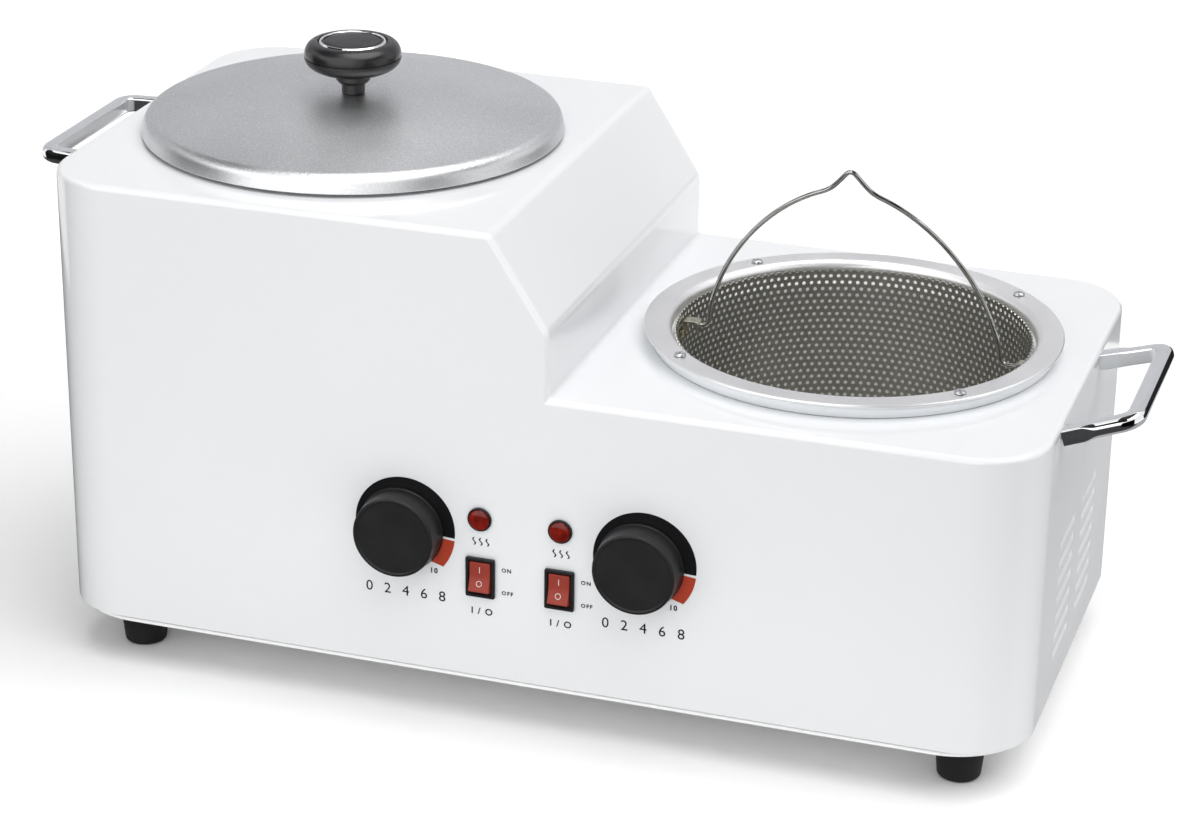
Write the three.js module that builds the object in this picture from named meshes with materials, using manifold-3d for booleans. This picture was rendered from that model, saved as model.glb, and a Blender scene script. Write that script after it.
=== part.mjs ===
// A twin-pot wax heater: a stepped sheet-metal housing that carries a deep pot
// with a lid on its tall side, and a shallow pot with a perforated lift-out
// basket on its low side, each with its own thermostat, switch and lamp.
//
// Millimetres, +Z up. The pieces are laid out with x = 0 on the housing's left
// end, y = 0 on its front face and z = 0 on the table. The finished assembly is
// then moved so that its origin lies under the middle of its bounding box.

import * as THREE from 'three';
import { mergeVertices } from 'three/addons/utils/BufferGeometryUtils.js';
import Module from 'manifold-3d';

const wasm = await Module();
wasm.setup();

// Driving dimensions

const clearance = 0.3; // between pieces that touch
const overrun = 3; // how far a cutting solid runs past what it cuts
const weld = 1e-5; // points closer than this are one

const housing = {
  length: 500,
  depth: 249,
  tallHeight: 230.4, // from the bottom edge to the tall top
  lowHeight: 151.5,
  stepFromMiddle: 15.8, // the step's wall, right of the housing's middle
  slantRun: 29.6, // of the slanted face, from its top edge to the step's wall
  slantDrop: 46.2, // from the tall top to the foot of the slanted face
  cornerRadius: 35.7,
  edgeRadius: 3,
  sheet: 1.2,
};

const base = {
  thickness: 2.2,
  inset: 1.2,
  lipHeight: 9,
  lipSheet: 1.5,
};

const foot = {
  height: 25.2,
  topRadius: 13.1,
  bottomRadius: 10.6,
  edge: 1,
  insetX: 34.4,
  insetY: 32.5,
  boreRadius: 2.5,
  counterboreRadius: 5,
  counterboreDepth: 12,
};

const footScrew = {
  headRadius: 4,
  headHeight: 2.6,
  shankRadius: 2,
  reach: 5, // past the base plate
};

const pot = {
  frontMargin: 33, // least room from the housing's front to the pot's inside
  endMargin: 26.5, // room from the housing's end to the pot's inside
  middleMargin: 40.5, // least room from the pot's inside to the housing's middle
  wall: 1.5,
  floorLevel: 72, // underside of both pots above the table
  cornerRadius: 12,
  flangeWidth: 8.8,
  flangeRise: 6.2, // flange above the housing's top
  skirtTaper: 1.3, // from the flange in to the skirt's foot
  holeGap: 1, // between the pot and its hole in the housing
};

const ring = {
  outerOverhang: 1.5, // past the pot's flange
  innerOverhang: 1.8, // past the pot's inside
  thickness: 1.6,
  lipDepth: 5,
  lipRadius: 2.5,
  edge: 0.7,
  screwOffset: 4, // from the pot's outside to the screws' circle
  firstScrewAngle: Math.PI / 4,
  screwCount: 4,
};

const ringScrew = {
  headRadius: 2.9,
  headHeight: 1.4,
  shankRadius: 1.5,
  holeRadius: 1.9,
  reach: 4, // past the housing's sheet
};

const heater = {
  thickness: 2.5,
  height: 46,
  rise: 16, // above the pot's underside
};

const insulation = {
  thickness: 7,
  bottomGap: 10, // above the pot's underside
  topGap: 8, // below the housing's top
};

const cutout = {
  capRadius: 8,
  capHeight: 6,
  flangeRadius: 11,
  flangeThickness: 1.2,
  terminalRadius: 5,
  terminalHeight: 8,
};

const lid = {
  overhang: 3.7, // past the ring
  skirtTaper: 2, // from the skirt's edge in to the bend
  bendEdge: 1.6,
  skirtHeight: 8.6,
  crown: 9,
  sheet: 1.2,
  holeRadius: 2.4,
};

const lidKnob = {
  stemRadius: 5.9,
  stemHeight: 5.3,
  collarRadius: 8.8,
  collarHeight: 5.5,
  radius: 24.5,
  height: 16,
  equatorShare: 0.56,
  ringOuterRadius: 17.3,
  ringInnerRadius: 14,
  ringDepth: 2,
  capRise: 0.5,
  boreRadius: 2.1,
  boreDepth: 5,
};

const lidScrew = {
  headRadius: 4.2,
  headHeight: 2.2,
  shankRadius: 1.8,
};

const basket = {
  rimGap: 1.5, // between the rim and the ring
  rimDrop: 3.8, // below the ring's top
  sheet: 1,
  cornerRadius: 8,
};

const perforation = {
  radius: 3.8,
  rowPitch: 14.6,
  rows: 6,
  belowRim: 12, // the upper row's middle
  floorPitch: 24,
};

const lug = {
  width: 13,
  height: 12,
  drop: 7, // bail axis below the basket's rim
  plate: 1.4,
  standOff: 4, // between the basket's wall and the upright plate
  holeRadius: 1.6,
};

const bail = {
  wireRadius: 1.1,
  drawnIn: 9.1, // the arch's side, in from the ear's plate
  height: 89.3,
  kinkHeight: 10.7,
  kinkHalfWidth: 11.6,
  archPower: 1.7,
  endOverhang: 1.6, // past the lug's plate
  lean: 11.9, // degrees towards the front, as it stands
};

const handle = {
  bar: 8,
  rootHalfSpan: 50,
  gripHalfSpan: 46.4,
  depth: 33,
  outerCorner: 9,
  innerCorner: 5,
  bevel: 1.8,
  leftDrop: 16.1, // of the roots below the tall top
  rightDrop: 6, // of the roots below the low top
  leftShift: 0, // of its middle from the middle of the depth
  rightShift: -20,
  leftRise: 0, // of the grip over the roots
  rightRise: 11,
};

const handleScrew = {
  headRadius: 3,
  headHeight: 2.2,
  shankRadius: 1.5,
  depth: 5, // into the handle's leg
};

const knob = {
  centreHeight: 73.5, // above the housing's bottom edge
  leftFromMiddle: -59,
  rightFromMiddle: 63,
  baseRadius: 21.7,
  faceRadius: 20.5,
  height: 13,
  faceEdge: 1,
  skirtHeight: 2,
  dish: 0.5,
  boreDepth: 8,
};

const thermostat = {
  shaftRadius: 3,
  shaftHole: 5,
  width: 38,
  height: 34,
  depth: 20,
  bushRadius: 4.4,
  bushReach: 1, // past the outside of the panel
  shaftSink: 3, // into the bush
};

const capillary = {
  radius: 1.1,
  bulbRadius: 2.2,
  bulbLength: 46,
  bulbOffset: 24, // from the pot's axis
  dip: 5, // under the bulb's axis
  backGap: 6, // behind the thermostat's body
};

const rocker = {
  leftFromMiddle: -18.1,
  rightFromMiddle: 22.4,
  centreHeight: 53.7,
  bezelWidth: 15,
  bezelLength: 21,
  bezelRise: 1.6,
  cutoutWidth: 13.6,
  cutoutLength: 19.8,
  wall: 0.9,
  bodyDepth: 19,
  cavityDepth: 10,
  pivotDepth: 2.5, // behind the outside of the panel
  middleRise: 0.2, // of the key's middle over the bezel
  endRise: 1.3, // of both ends over the bezel, half way through the swing
  frontHalf: 7.5,
  sideHalf: 8.2,
  sideDepth: 1, // from the pivot forward to the key's widest line
  rearHalf: 3.5,
  rearDepth: 4,
  swing: 18, // degrees between its two positions
};

const lamp = {
  leftFromMiddle: -18.5,
  rightFromMiddle: 22.5,
  centreHeight: 84.6,
  bezelRadius: 6.1,
  bezelRise: 1.3,
  lensRadius: 5.1,
  lensRise: 3,
  bodyRadius: 4.8,
  bodyDepth: 20,
};

const inlet = {
  centreHeight: 34,
  width: 50,
  height: 23,
  plate: 2.4,
  bodyWidth: 28,
  bodyHeight: 20,
  bodyDepth: 22,
  socketWidth: 24.5,
  socketHeight: 16.5,
  socketDepth: 16,
  corner: 3,
  pinWidth: 2,
  pinHeight: 4,
  pinLength: 12,
  pinSpacing: 7,
  pinStep: 2,
};

const terminals = {
  length: 46,
  width: 17,
  height: 13,
  notchDepth: 4,
  notchWidth: 2,
  bays: 4,
  fromBack: 46,
};

const louvre = {
  length: 37,
  window: 5.2,
  inward: 3.4,
  pitch: 9.8,
  perColumn: 7,
  topHeight: 82, // upper row above the housing's bottom edge
  nearY: 92, // middle of the near column from the front
  farY: 149,
};

// Facets on a full circle, and steps along curves and corners

const facets = { large: 32, medium: 20, small: 10, tiny: 6, perforation: 4 };
const archSteps = 30;
const wireSides = 6;
const capillarySteps = 14;
const capillarySides = 5;
const cornerSteps = 5;
const lipCornerSteps = 2;
const edgeSteps = 2;
const handleCornerSteps = 4;

// Hand-picked shares of the sizes that they follow

const screwCrownShare = 0.7; // of the head's width, at its top
const domeShares = [1, 0.75, 0.4]; // of the lid's radius
const discUnderShares = [0.3, 0.6, 0.85]; // of the quarter turn below the knob's widest line
const discOverShares = [0.33, 0.67];

// Places worked out from the sizes

const plateBottom = foot.height + clearance;
const plateTop = plateBottom + base.thickness;
const housingBottom = plateTop + clearance;
const tallTop = housingBottom + housing.tallHeight;
const lowTop = housingBottom + housing.lowHeight;
const midDepth = housing.depth / 2;
const middle = housing.length / 2;
const stepWall = middle + housing.stepFromMiddle;
const slantTop = stepWall - housing.slantRun;
const potRadius = Math.min(midDepth - pot.frontMargin, (middle - pot.endMargin - pot.middleMargin) / 2);
const potOuterRadius = potRadius + pot.wall;
const flangeRadius = potOuterRadius + pot.flangeWidth;
const potX = { left: pot.endMargin + potRadius, right: housing.length - pot.endMargin - potRadius };
const potTop = { left: tallTop, right: lowTop };
const ringOuterRadius = flangeRadius + ring.outerOverhang;
const ringInnerRadius = potRadius - ring.innerOverhang;
const screwCircle = potOuterRadius + ring.screwOffset;
const lidRadius = ringOuterRadius + lid.overhang;
const lidBendRadius = lidRadius - lid.skirtTaper;
const basketRadius = ringInnerRadius - basket.rimGap;
const knobX = { left: middle + knob.leftFromMiddle, right: middle + knob.rightFromMiddle };
const rockerX = { left: middle + rocker.leftFromMiddle, right: middle + rocker.rightFromMiddle };
const lampX = { left: middle + lamp.leftFromMiddle, right: middle + lamp.rightFromMiddle };
const potHole = potOuterRadius + pot.holeGap;
const insulationRadius = potOuterRadius + heater.thickness + 2 * clearance + insulation.thickness;
const panelInside = housing.sheet;
const backOutside = housing.depth;

// Materials

function finish(color, roughness, metalness) {
  return new THREE.MeshStandardMaterial({ color, roughness, metalness });
}

const finishes = {
  enamel: finish(0xe9ebee, 0.18, 0),
  plate: finish(0xdfe1e4, 0.35, 0),
  rubber: finish(0x161616, 0.8, 0),
  steel: finish(0xb9bcbf, 0.35, 1),
  chrome: finish(0xd8dadd, 0.08, 1),
  aluminium: finish(0xb4b6b8, 0.42, 1),
  spunAluminium: finish(0xbfc1c3, 0.5, 1),
  perforated: finish(0x9a9a96, 0.35, 1),
  blackPlastic: finish(0x1b1b1c, 0.45, 0),
  glossBlack: finish(0x121213, 0.25, 0),
  redPlastic: finish(0xb4181a, 0.35, 0),
  lampRed: finish(0x6a0c0c, 0.15, 0),
  mica: finish(0x8d7f63, 0.6, 0.3),
  wool: finish(0xd8cfa8, 0.95, 0),
  copper: finish(0xb87a4a, 0.35, 1),
  ceramic: finish(0xe4dfd2, 0.6, 0),
};

// Solids: closed three.js geometries that can be joined and cut

function solid(geometry) {
  const bare = geometry.clone();
  for (const name of Object.keys(bare.attributes)) {
    if (name !== 'position') bare.deleteAttribute(name);
  }
  const merged = mergeVertices(bare, weld);
  const index = merged.index.array;
  const kept = [];
  for (let i = 0; i < index.length; i += 3) {
    const [a, b, c] = [index[i], index[i + 1], index[i + 2]];
    if (a !== b && b !== c && c !== a) kept.push(a, b, c);
  }
  return new wasm.Manifold(new wasm.Mesh({
    numProp: 3,
    vertProperties: new Float32Array(merged.attributes.position.array),
    triVerts: new Uint32Array(kept),
  }));
}

function geometryOf(manifold) {
  const mesh = manifold.getMesh();
  const geometry = new THREE.BufferGeometry();
  geometry.setAttribute('position', new THREE.BufferAttribute(new Float32Array(mesh.vertProperties), 3));
  geometry.setIndex(new THREE.BufferAttribute(new Uint32Array(mesh.triVerts), 1));
  geometry.computeVertexNormals();
  return geometry;
}

function joined(parts) {
  return parts.reduce((sum, part) => sum.add(part));
}

function without(body, cuts) {
  return cuts.reduce((rest, cut) => rest.subtract(cut), body);
}

// A box between two corners.
function block([x0, y0, z0], [x1, y1, z1]) {
  const geometry = new THREE.BoxGeometry(x1 - x0, y1 - y0, z1 - z0);
  return geometry.translate((x0 + x1) / 2, (y0 + y1) / 2, (z0 + z1) / 2);
}

// A profile of [radius, height] points turned about the Z axis.
function turned(profile, segments) {
  const points = profile.map(([radius, height]) => new THREE.Vector2(radius, height));
  if (THREE.ShapeUtils.area(points) < 0) points.reverse();
  const ringed = points[0].x > 0 || points[points.length - 1].x > 0;
  if (ringed) points.push(points[0].clone());
  return new THREE.LatheGeometry(points, segments).rotateX(Math.PI / 2);
}

// A rod along Z, from one height to another.
function rod(radius, bottom, top, segments) {
  const geometry = new THREE.CylinderGeometry(radius, radius, top - bottom, segments);
  return geometry.rotateX(Math.PI / 2).translate(0, 0, (bottom + top) / 2);
}

// Turns a piece made along +Z so that it points along -Y, out of the front panel.
function outOfFront(geometry, x, z) {
  return geometry.rotateX(Math.PI / 2).translate(x, 0, z);
}

// A quarter arc of [radius, height] points about a centre, from one angle to another.
function arc(centre, radius, from, to, steps) {
  return Array.from({ length: steps + 1 }, (_, i) => {
    const angle = from + ((to - from) * i) / steps;
    return [centre[0] + radius * Math.cos(angle), centre[1] + radius * Math.sin(angle)];
  });
}

// An outline whose corners are rounded, each by its own radius.
function roundedOutline(corners) {
  const shape = new THREE.Shape();
  corners.forEach(([x, y, radius], i) => {
    const corner = new THREE.Vector2(x, y);
    const before = new THREE.Vector2(...corners.at(i - 1));
    const after = new THREE.Vector2(...corners[(i + 1) % corners.length]);
    const entry = corner.clone().add(before.sub(corner).setLength(radius));
    const exit = corner.clone().add(after.sub(corner).setLength(radius));
    if (i === 0) shape.moveTo(entry.x, entry.y);
    else shape.lineTo(entry.x, entry.y);
    if (radius > 0) shape.quadraticCurveTo(x, y, exit.x, exit.y);
  });
  return shape;
}

// The housing's plan, drawn in by an inset, with true round corners.
function planOutline(inset) {
  const radius = housing.cornerRadius - inset;
  const [x0, x1] = [inset, housing.length - inset];
  const [y0, y1] = [inset, housing.depth - inset];
  const shape = new THREE.Shape();
  shape.absarc(x1 - radius, y0 + radius, radius, -Math.PI / 2, 0);
  shape.absarc(x1 - radius, y1 - radius, radius, 0, Math.PI / 2);
  shape.absarc(x0 + radius, y1 - radius, radius, Math.PI / 2, Math.PI);
  shape.absarc(x0 + radius, y0 + radius, radius, Math.PI, 1.5 * Math.PI);
  return shape;
}

function planPrism(inset, bottom, top, steps) {
  const geometry = new THREE.ExtrudeGeometry(planOutline(inset), {
    depth: top - bottom,
    bevelEnabled: false,
    curveSegments: steps,
  });
  return geometry.translate(0, 0, bottom);
}

// A prism over the housing's plan whose top edge is rounded all round.
function roundedBlock(inset, bottom, top, radius) {
  const geometry = new THREE.ExtrudeGeometry(planOutline(inset), {
    depth: top - bottom,
    bevelEnabled: true,
    bevelThickness: radius,
    bevelSize: radius,
    bevelOffset: -radius,
    bevelSegments: edgeSteps,
    curveSegments: cornerSteps,
  });
  return solid(geometry.translate(0, 0, bottom));
}

// A profile of [x, z] points drawn out along Y.
function sideways(profile, front, back) {
  const shape = new THREE.Shape(profile.map(([x, z]) => new THREE.Vector2(x, z)));
  const geometry = new THREE.ExtrudeGeometry(shape, { depth: back - front, bevelEnabled: false });
  return geometry.rotateX(Math.PI / 2).translate(0, back, 0);
}

const group = new THREE.Group();

function add(name, geometry, material) {
  const mesh = new THREE.Mesh(geometry, material);
  mesh.name = name;
  group.add(mesh);
  return mesh;
}

// Housing: a folded shell with a slanted step, open below

// The outline of everything on the tall side, drawn in by the sheet.
function tallSide(inset) {
  const slant = Math.hypot(housing.slantRun, housing.slantDrop);
  const [nx, nz] = [housing.slantDrop / slant, housing.slantRun / slant];
  const top = tallTop - inset;
  const wall = stepWall - inset;
  const topX = slantTop - (inset - inset * nz) / nx;
  const wallZ = tallTop - (inset + (wall - slantTop) * nx) / nz;
  const outside = -overrun;
  const bottom = housingBottom - 2 * overrun;
  const profile = [[outside, bottom], [wall, bottom], [wall, wallZ], [topX, top], [outside, top]];
  return solid(sideways(profile, -overrun, housing.depth + overrun));
}

function envelope(inset, bottom) {
  const radius = housing.edgeRadius - inset;
  const foundation = bottom - overrun;
  const low = roundedBlock(inset, foundation, lowTop - inset - radius, radius);
  const tall = roundedBlock(inset, foundation, tallTop - inset - radius, radius);
  return low.add(tall.intersect(tallSide(inset)));
}

// A pressed-in louvre on the right end: the window, and the flap that leans in from its lower edge.
function louvreWindow(y, z) {
  const half = louvre.length / 2;
  const x = housing.length - housing.sheet - overrun;
  return solid(block([x, y - half, z], [housing.length + overrun, y + half, z + louvre.window]));
}

function louvreFlap(y, z) {
  const half = louvre.length / 2;
  const [x, t] = [housing.length, housing.sheet];
  const root = z - t;
  const top = z + louvre.window;
  const profile = [[x - t, root], [x, z], [x - louvre.inward, top], [x - louvre.inward - t, top]];
  return solid(sideways(profile, y - half + clearance, y + half - clearance));
}

function louvrePlaces() {
  const rows = Array.from({ length: louvre.perColumn }, (_, i) => i);
  return [louvre.nearY, louvre.farY].flatMap((y) => rows.map((row) => [
    y,
    housingBottom + louvre.topHeight - row * louvre.pitch - louvre.window,
  ]));
}

function mirroredInX(manifold) {
  const flip = geometryOf(manifold).scale(-1, 1, 1).translate(housing.length, 0, 0);
  const index = flip.index.array;
  for (let i = 0; i < index.length; i += 3) [index[i], index[i + 1]] = [index[i + 1], index[i]];
  return solid(flip);
}

function throughFront(radius, x, height, segments) {
  const hole = rod(radius, -housing.sheet - overrun, overrun, segments);
  return solid(outOfFront(hole, x, housingBottom + height));
}

function ringScrewPlaces(side) {
  return Array.from({ length: ring.screwCount }, (_, i) => {
    const angle = ring.firstScrewAngle + (2 * Math.PI * i) / ring.screwCount;
    return [
      potX[side] + screwCircle * Math.cos(angle),
      midDepth + screwCircle * Math.sin(angle),
    ];
  });
}

function ringScrewHoles(side) {
  const bottom = potTop[side] - 2 * overrun;
  const top = potTop[side] + pot.flangeRise + 2 * overrun;
  return ringScrewPlaces(side).map(([x, y]) => (
    solid(rod(ringScrew.holeRadius, bottom, top, facets.tiny).translate(x, y, 0))
  ));
}

const handleLevel = { left: tallTop - handle.leftDrop, right: lowTop - handle.rightDrop };

function handleRoots(side) {
  const shift = side === 'left' ? handle.leftShift : handle.rightShift;
  const centre = midDepth + shift;
  return [-1, 1].map((sign) => [centre + sign * handle.rootHalfSpan, handleLevel[side]]);
}

function handleScrewHoles(side) {
  const x = side === 'left' ? 0 : housing.length;
  const radius = handleScrew.shankRadius + clearance;
  return handleRoots(side).map(([y, z]) => {
    const hole = rod(radius, -overrun, overrun, facets.tiny).rotateY(Math.PI / 2);
    return solid(hole.translate(x, y, z));
  });
}

function housingBody() {
  const outer = envelope(0, housingBottom);
  const inner = envelope(housing.sheet, housingBottom);
  const below = solid(block(
    [-overrun, -overrun, housingBottom - 3 * overrun],
    [housing.length + overrun, housing.depth + overrun, housingBottom],
  ));
  const potCuts = ['left', 'right'].map((side) => (
    solid(rod(potHole, potTop[side] - 2 * overrun, potTop[side] + overrun, facets.large)
      .translate(potX[side], midDepth, 0))
  ));
  const switchCuts = [rockerX.left, rockerX.right].map((x) => {
    const [halfX, halfZ] = [rocker.cutoutWidth / 2, rocker.cutoutLength / 2];
    const z = housingBottom + rocker.centreHeight;
    return solid(block(
      [x - halfX, -overrun, z - halfZ],
      [x + halfX, panelInside + overrun, z + halfZ],
    ));
  });
  const roundCuts = [
    throughFront(thermostat.shaftHole, knobX.left, knob.centreHeight, facets.small),
    throughFront(thermostat.shaftHole, knobX.right, knob.centreHeight, facets.small),
    throughFront(lamp.bodyRadius + clearance, lampX.left, lamp.centreHeight, facets.small),
    throughFront(lamp.bodyRadius + clearance, lampX.right, lamp.centreHeight, facets.small),
  ];
  const inletZ = housingBottom + inlet.centreHeight;
  const inletCut = solid(block(
    [middle - inlet.bodyWidth / 2 - clearance, backOutside - overrun, inletZ - inlet.bodyHeight / 2 - clearance],
    [middle + inlet.bodyWidth / 2 + clearance, backOutside + overrun, inletZ + inlet.bodyHeight / 2 + clearance],
  ));
  const windows = joined(louvrePlaces().map(([y, z]) => louvreWindow(y, z)));
  const flaps = joined(louvrePlaces().map(([y, z]) => louvreFlap(y, z)));
  const shell = without(outer, [
    inner,
    below,
    ...potCuts,
    ...switchCuts,
    ...roundCuts,
    inletCut,
    ...ringScrewHoles('left'),
    ...ringScrewHoles('right'),
    ...handleScrewHoles('left'),
    ...handleScrewHoles('right'),
    windows,
    mirroredInX(windows),
  ]);
  return joined([shell, flaps, mirroredInX(flaps)]);
}

add('housing', geometryOf(housingBody()), finishes.enamel);

// Base plate, feet and their screws

const footPlaces = [
  [foot.insetX, foot.insetY],
  [housing.length - foot.insetX, foot.insetY],
  [foot.insetX, housing.depth - foot.insetY],
  [housing.length - foot.insetX, housing.depth - foot.insetY],
];
const footNames = ['front_left', 'front_right', 'rear_left', 'rear_right'];

function basePlateBody() {
  const lipOutside = housing.sheet + clearance;
  const lipInside = lipOutside + base.lipSheet;
  const lipTop = plateTop + base.lipHeight;
  const plate = solid(planPrism(base.inset, plateBottom, plateTop, cornerSteps));
  const lip = solid(planPrism(lipOutside, plateBottom + base.thickness / 2, lipTop, lipCornerSteps))
    .subtract(solid(planPrism(lipInside, plateBottom, lipTop + overrun, lipCornerSteps)));
  const holes = footPlaces.map(([x, y]) => (
    solid(rod(foot.boreRadius, plateBottom - overrun, plateTop + overrun, facets.tiny).translate(x, y, 0))
  ));
  return without(plate.add(lip), holes);
}

add('base_plate', geometryOf(basePlateBody()), finishes.plate);

function footGeometry() {
  return turned([
    [foot.counterboreRadius, 0],
    [foot.bottomRadius - foot.edge, 0],
    [foot.bottomRadius, foot.edge],
    [foot.topRadius, foot.height],
    [foot.boreRadius, foot.height],
    [foot.boreRadius, foot.counterboreDepth],
    [foot.counterboreRadius, foot.counterboreDepth],
  ], facets.small);
}

// A pan-head screw along Z, its head's bearing face at z = 0 and its shank above.
function screwGeometry(size, length) {
  return turned([
    [0, -size.headHeight],
    [size.headRadius * screwCrownShare, -size.headHeight],
    [size.headRadius, 0],
    [size.shankRadius, 0],
    [size.shankRadius, length],
    [0, length],
  ], facets.tiny);
}

footPlaces.forEach(([x, y], i) => {
  add(`foot_${footNames[i]}`, footGeometry(), finishes.rubber).position.set(x, y, 0);
  const seat = foot.counterboreDepth - clearance;
  const length = plateTop + footScrew.reach - seat;
  add(`foot_screw_${footNames[i]}`, screwGeometry(footScrew, length), finishes.steel)
    .position.set(x, y, seat);
});

// Pots, rings and ring screws

function potProfile(top) {
  const { wall, cornerRadius, flangeRise, skirtTaper } = pot;
  const bottom = pot.floorLevel;
  const flange = top + flangeRise;
  const outsideCorner = [potOuterRadius - cornerRadius, bottom + cornerRadius];
  return [
    [0, bottom],
    ...arc(outsideCorner, cornerRadius, -Math.PI / 2, 0, 2),
    [potOuterRadius, flange - wall],
    [flangeRadius - wall, flange - wall],
    [flangeRadius - wall - skirtTaper, top + clearance],
    [flangeRadius - skirtTaper, top + clearance],
    [flangeRadius, flange],
    [potRadius, flange],
    ...arc(outsideCorner, cornerRadius - wall, 0, -Math.PI / 2, 2),
    [0, bottom + wall],
  ];
}

function ringProfile(top) {
  const upper = top + pot.flangeRise + clearance + ring.thickness;
  const lower = upper - ring.thickness;
  const lipOutside = ringInnerRadius + ring.thickness - clearance;
  const lipCentre = [ringInnerRadius + ring.lipRadius, upper - ring.lipRadius];
  return [
    [lipOutside, lower - ring.lipDepth],
    [lipOutside, lower],
    [ringOuterRadius, lower],
    [ringOuterRadius, upper - ring.edge],
    [ringOuterRadius - ring.edge, upper],
    ...arc(lipCentre, ring.lipRadius, Math.PI / 2, Math.PI, 2),
    [ringInnerRadius, lower - ring.lipDepth],
  ];
}

const ringTop = {
  left: tallTop + pot.flangeRise + clearance + ring.thickness,
  right: lowTop + pot.flangeRise + clearance + ring.thickness,
};

for (const side of ['left', 'right']) {
  const top = potTop[side];
  const axis = new THREE.Matrix4().makeTranslation(potX[side], midDepth, 0);
  const holes = ringScrewHoles(side);
  const potBody = solid(turned(potProfile(top), facets.large).applyMatrix4(axis));
  const ringBody = solid(turned(ringProfile(top), facets.large).applyMatrix4(axis));
  add(`pot_${side}`, geometryOf(without(potBody, holes)), finishes.aluminium);
  add(`ring_${side}`, geometryOf(without(ringBody, holes)), finishes.aluminium);
  const seat = ringTop[side] + clearance;
  const length = seat - (top - housing.sheet) + ringScrew.reach;
  ringScrewPlaces(side).forEach(([x, y], i) => {
    const screw = screwGeometry(ringScrew, length).rotateX(Math.PI);
    add(`ring_screw_${side}_${i + 1}`, screw, finishes.steel).position.set(x, y, seat);
  });
}

// Heating: a band round each pot, a wool jacket, and a cut-out under the floor

for (const side of ['left', 'right']) {
  const [x, y] = [potX[side], midDepth];
  const bandInside = potOuterRadius + clearance;
  const bandOutside = bandInside + heater.thickness;
  const bandBottom = pot.floorLevel + heater.rise;
  const bandTop = bandBottom + heater.height;
  const band = turned([
    [bandInside, bandBottom],
    [bandOutside, bandBottom],
    [bandOutside, bandTop],
    [bandInside, bandTop],
  ], facets.large);
  add(`heater_band_${side}`, band, finishes.mica).position.set(x, y, 0);

  const woolBottom = pot.floorLevel + insulation.bottomGap;
  const woolTop = potTop[side] - housing.sheet - insulation.topGap;
  const wool = turned([
    [bandOutside + clearance, woolBottom],
    [insulationRadius, woolBottom],
    [insulationRadius, woolTop],
    [bandOutside + clearance, woolTop],
  ], facets.large);
  add(`insulation_${side}`, wool, finishes.wool).position.set(x, y, 0);

  const seat = pot.floorLevel - clearance;
  const disc = turned([
    [0, seat],
    [cutout.flangeRadius, seat],
    [cutout.flangeRadius, seat - cutout.flangeThickness],
    [cutout.capRadius, seat - cutout.flangeThickness],
    [cutout.capRadius, seat - cutout.capHeight],
    [cutout.terminalRadius, seat - cutout.capHeight],
    [cutout.terminalRadius, seat - cutout.capHeight - cutout.terminalHeight],
    [0, seat - cutout.capHeight - cutout.terminalHeight],
  ], facets.small);
  add(`thermal_cutout_${side}`, disc, finishes.ceramic).position.set(x, y, 0);
}

// Lid, resting on the heads of the left ring's screws

// The dome's height over the bend at a radius, as a flat spherical cap.
function domeRise(radius) {
  const share = radius / lidBendRadius;
  return lid.crown * (1 - share * share);
}

const screwHeadTop = ringTop.left + clearance + ringScrew.headHeight;
const seatRadius = screwCircle + ringScrew.headRadius * screwCrownShare;
const lidBend = screwHeadTop + clearance + lid.sheet - domeRise(seatRadius);
const crownTop = lidBend + lid.crown;

function lidProfile() {
  const flat = lidBendRadius - lid.bendEdge;
  const bottom = lidBend - lid.skirtHeight;
  const outer = domeShares.map((share) => [flat * share, lidBend + domeRise(flat * share)]);
  const inner = outer.map(([radius, height]) => [radius, height - lid.sheet]).reverse();
  return [
    [lidRadius - lid.sheet, bottom],
    [lidRadius, bottom],
    [lidBendRadius, lidBend - lid.bendEdge],
    ...outer,
    [lid.holeRadius, crownTop],
    [lid.holeRadius, crownTop - lid.sheet],
    ...inner,
    [lidBendRadius - lid.sheet, lidBend - lid.bendEdge],
  ];
}

const lidAt = [potX.left, midDepth, 0];
add('lid', turned(lidProfile(), facets.large), finishes.spunAluminium).position.set(...lidAt);

// The lid's knob: stem and collar, a rounded disc, a bright ring and a cap

const stemBottom = crownTop + clearance;
const discBottom = stemBottom + lidKnob.stemHeight + lidKnob.collarHeight + clearance;
const discTop = discBottom + lidKnob.height;
const ringSeat = discTop - lidKnob.ringDepth;

function stemProfile() {
  const collarBottom = stemBottom + lidKnob.stemHeight;
  const collarTop = collarBottom + lidKnob.collarHeight;
  const shoulder = lidKnob.collarRadius - lidKnob.stemRadius;
  return [
    [lidKnob.boreRadius, stemBottom],
    [lidKnob.stemRadius, stemBottom],
    [lidKnob.stemRadius, collarBottom],
    [lidKnob.collarRadius, collarBottom + shoulder / 2],
    [lidKnob.collarRadius, collarTop],
    [0, collarTop],
    [0, stemBottom + lidKnob.boreDepth],
    [lidKnob.boreRadius, stemBottom + lidKnob.boreDepth],
  ];
}

function discProfile() {
  const { radius, height } = lidKnob;
  const equator = height * lidKnob.equatorShare;
  const neck = lidKnob.collarRadius + clearance;
  const under = discUnderShares.map((share) => {
    const angle = (share * Math.PI) / 2;
    const spread = radius - neck;
    return [neck + spread * Math.sin(angle), discBottom + equator * (1 - Math.cos(angle))];
  });
  const rim = lidKnob.ringOuterRadius + clearance;
  const over = discOverShares.map((share) => {
    const angle = (share * Math.PI) / 2;
    const spread = radius - rim;
    return [rim + spread * Math.cos(angle), discBottom + equator + (height - equator) * Math.sin(angle)];
  });
  return [
    [0, discBottom],
    [neck, discBottom],
    ...under,
    [radius, discBottom + equator],
    ...over,
    [rim, discTop],
    [rim, ringSeat],
    [0, ringSeat],
  ];
}

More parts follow.
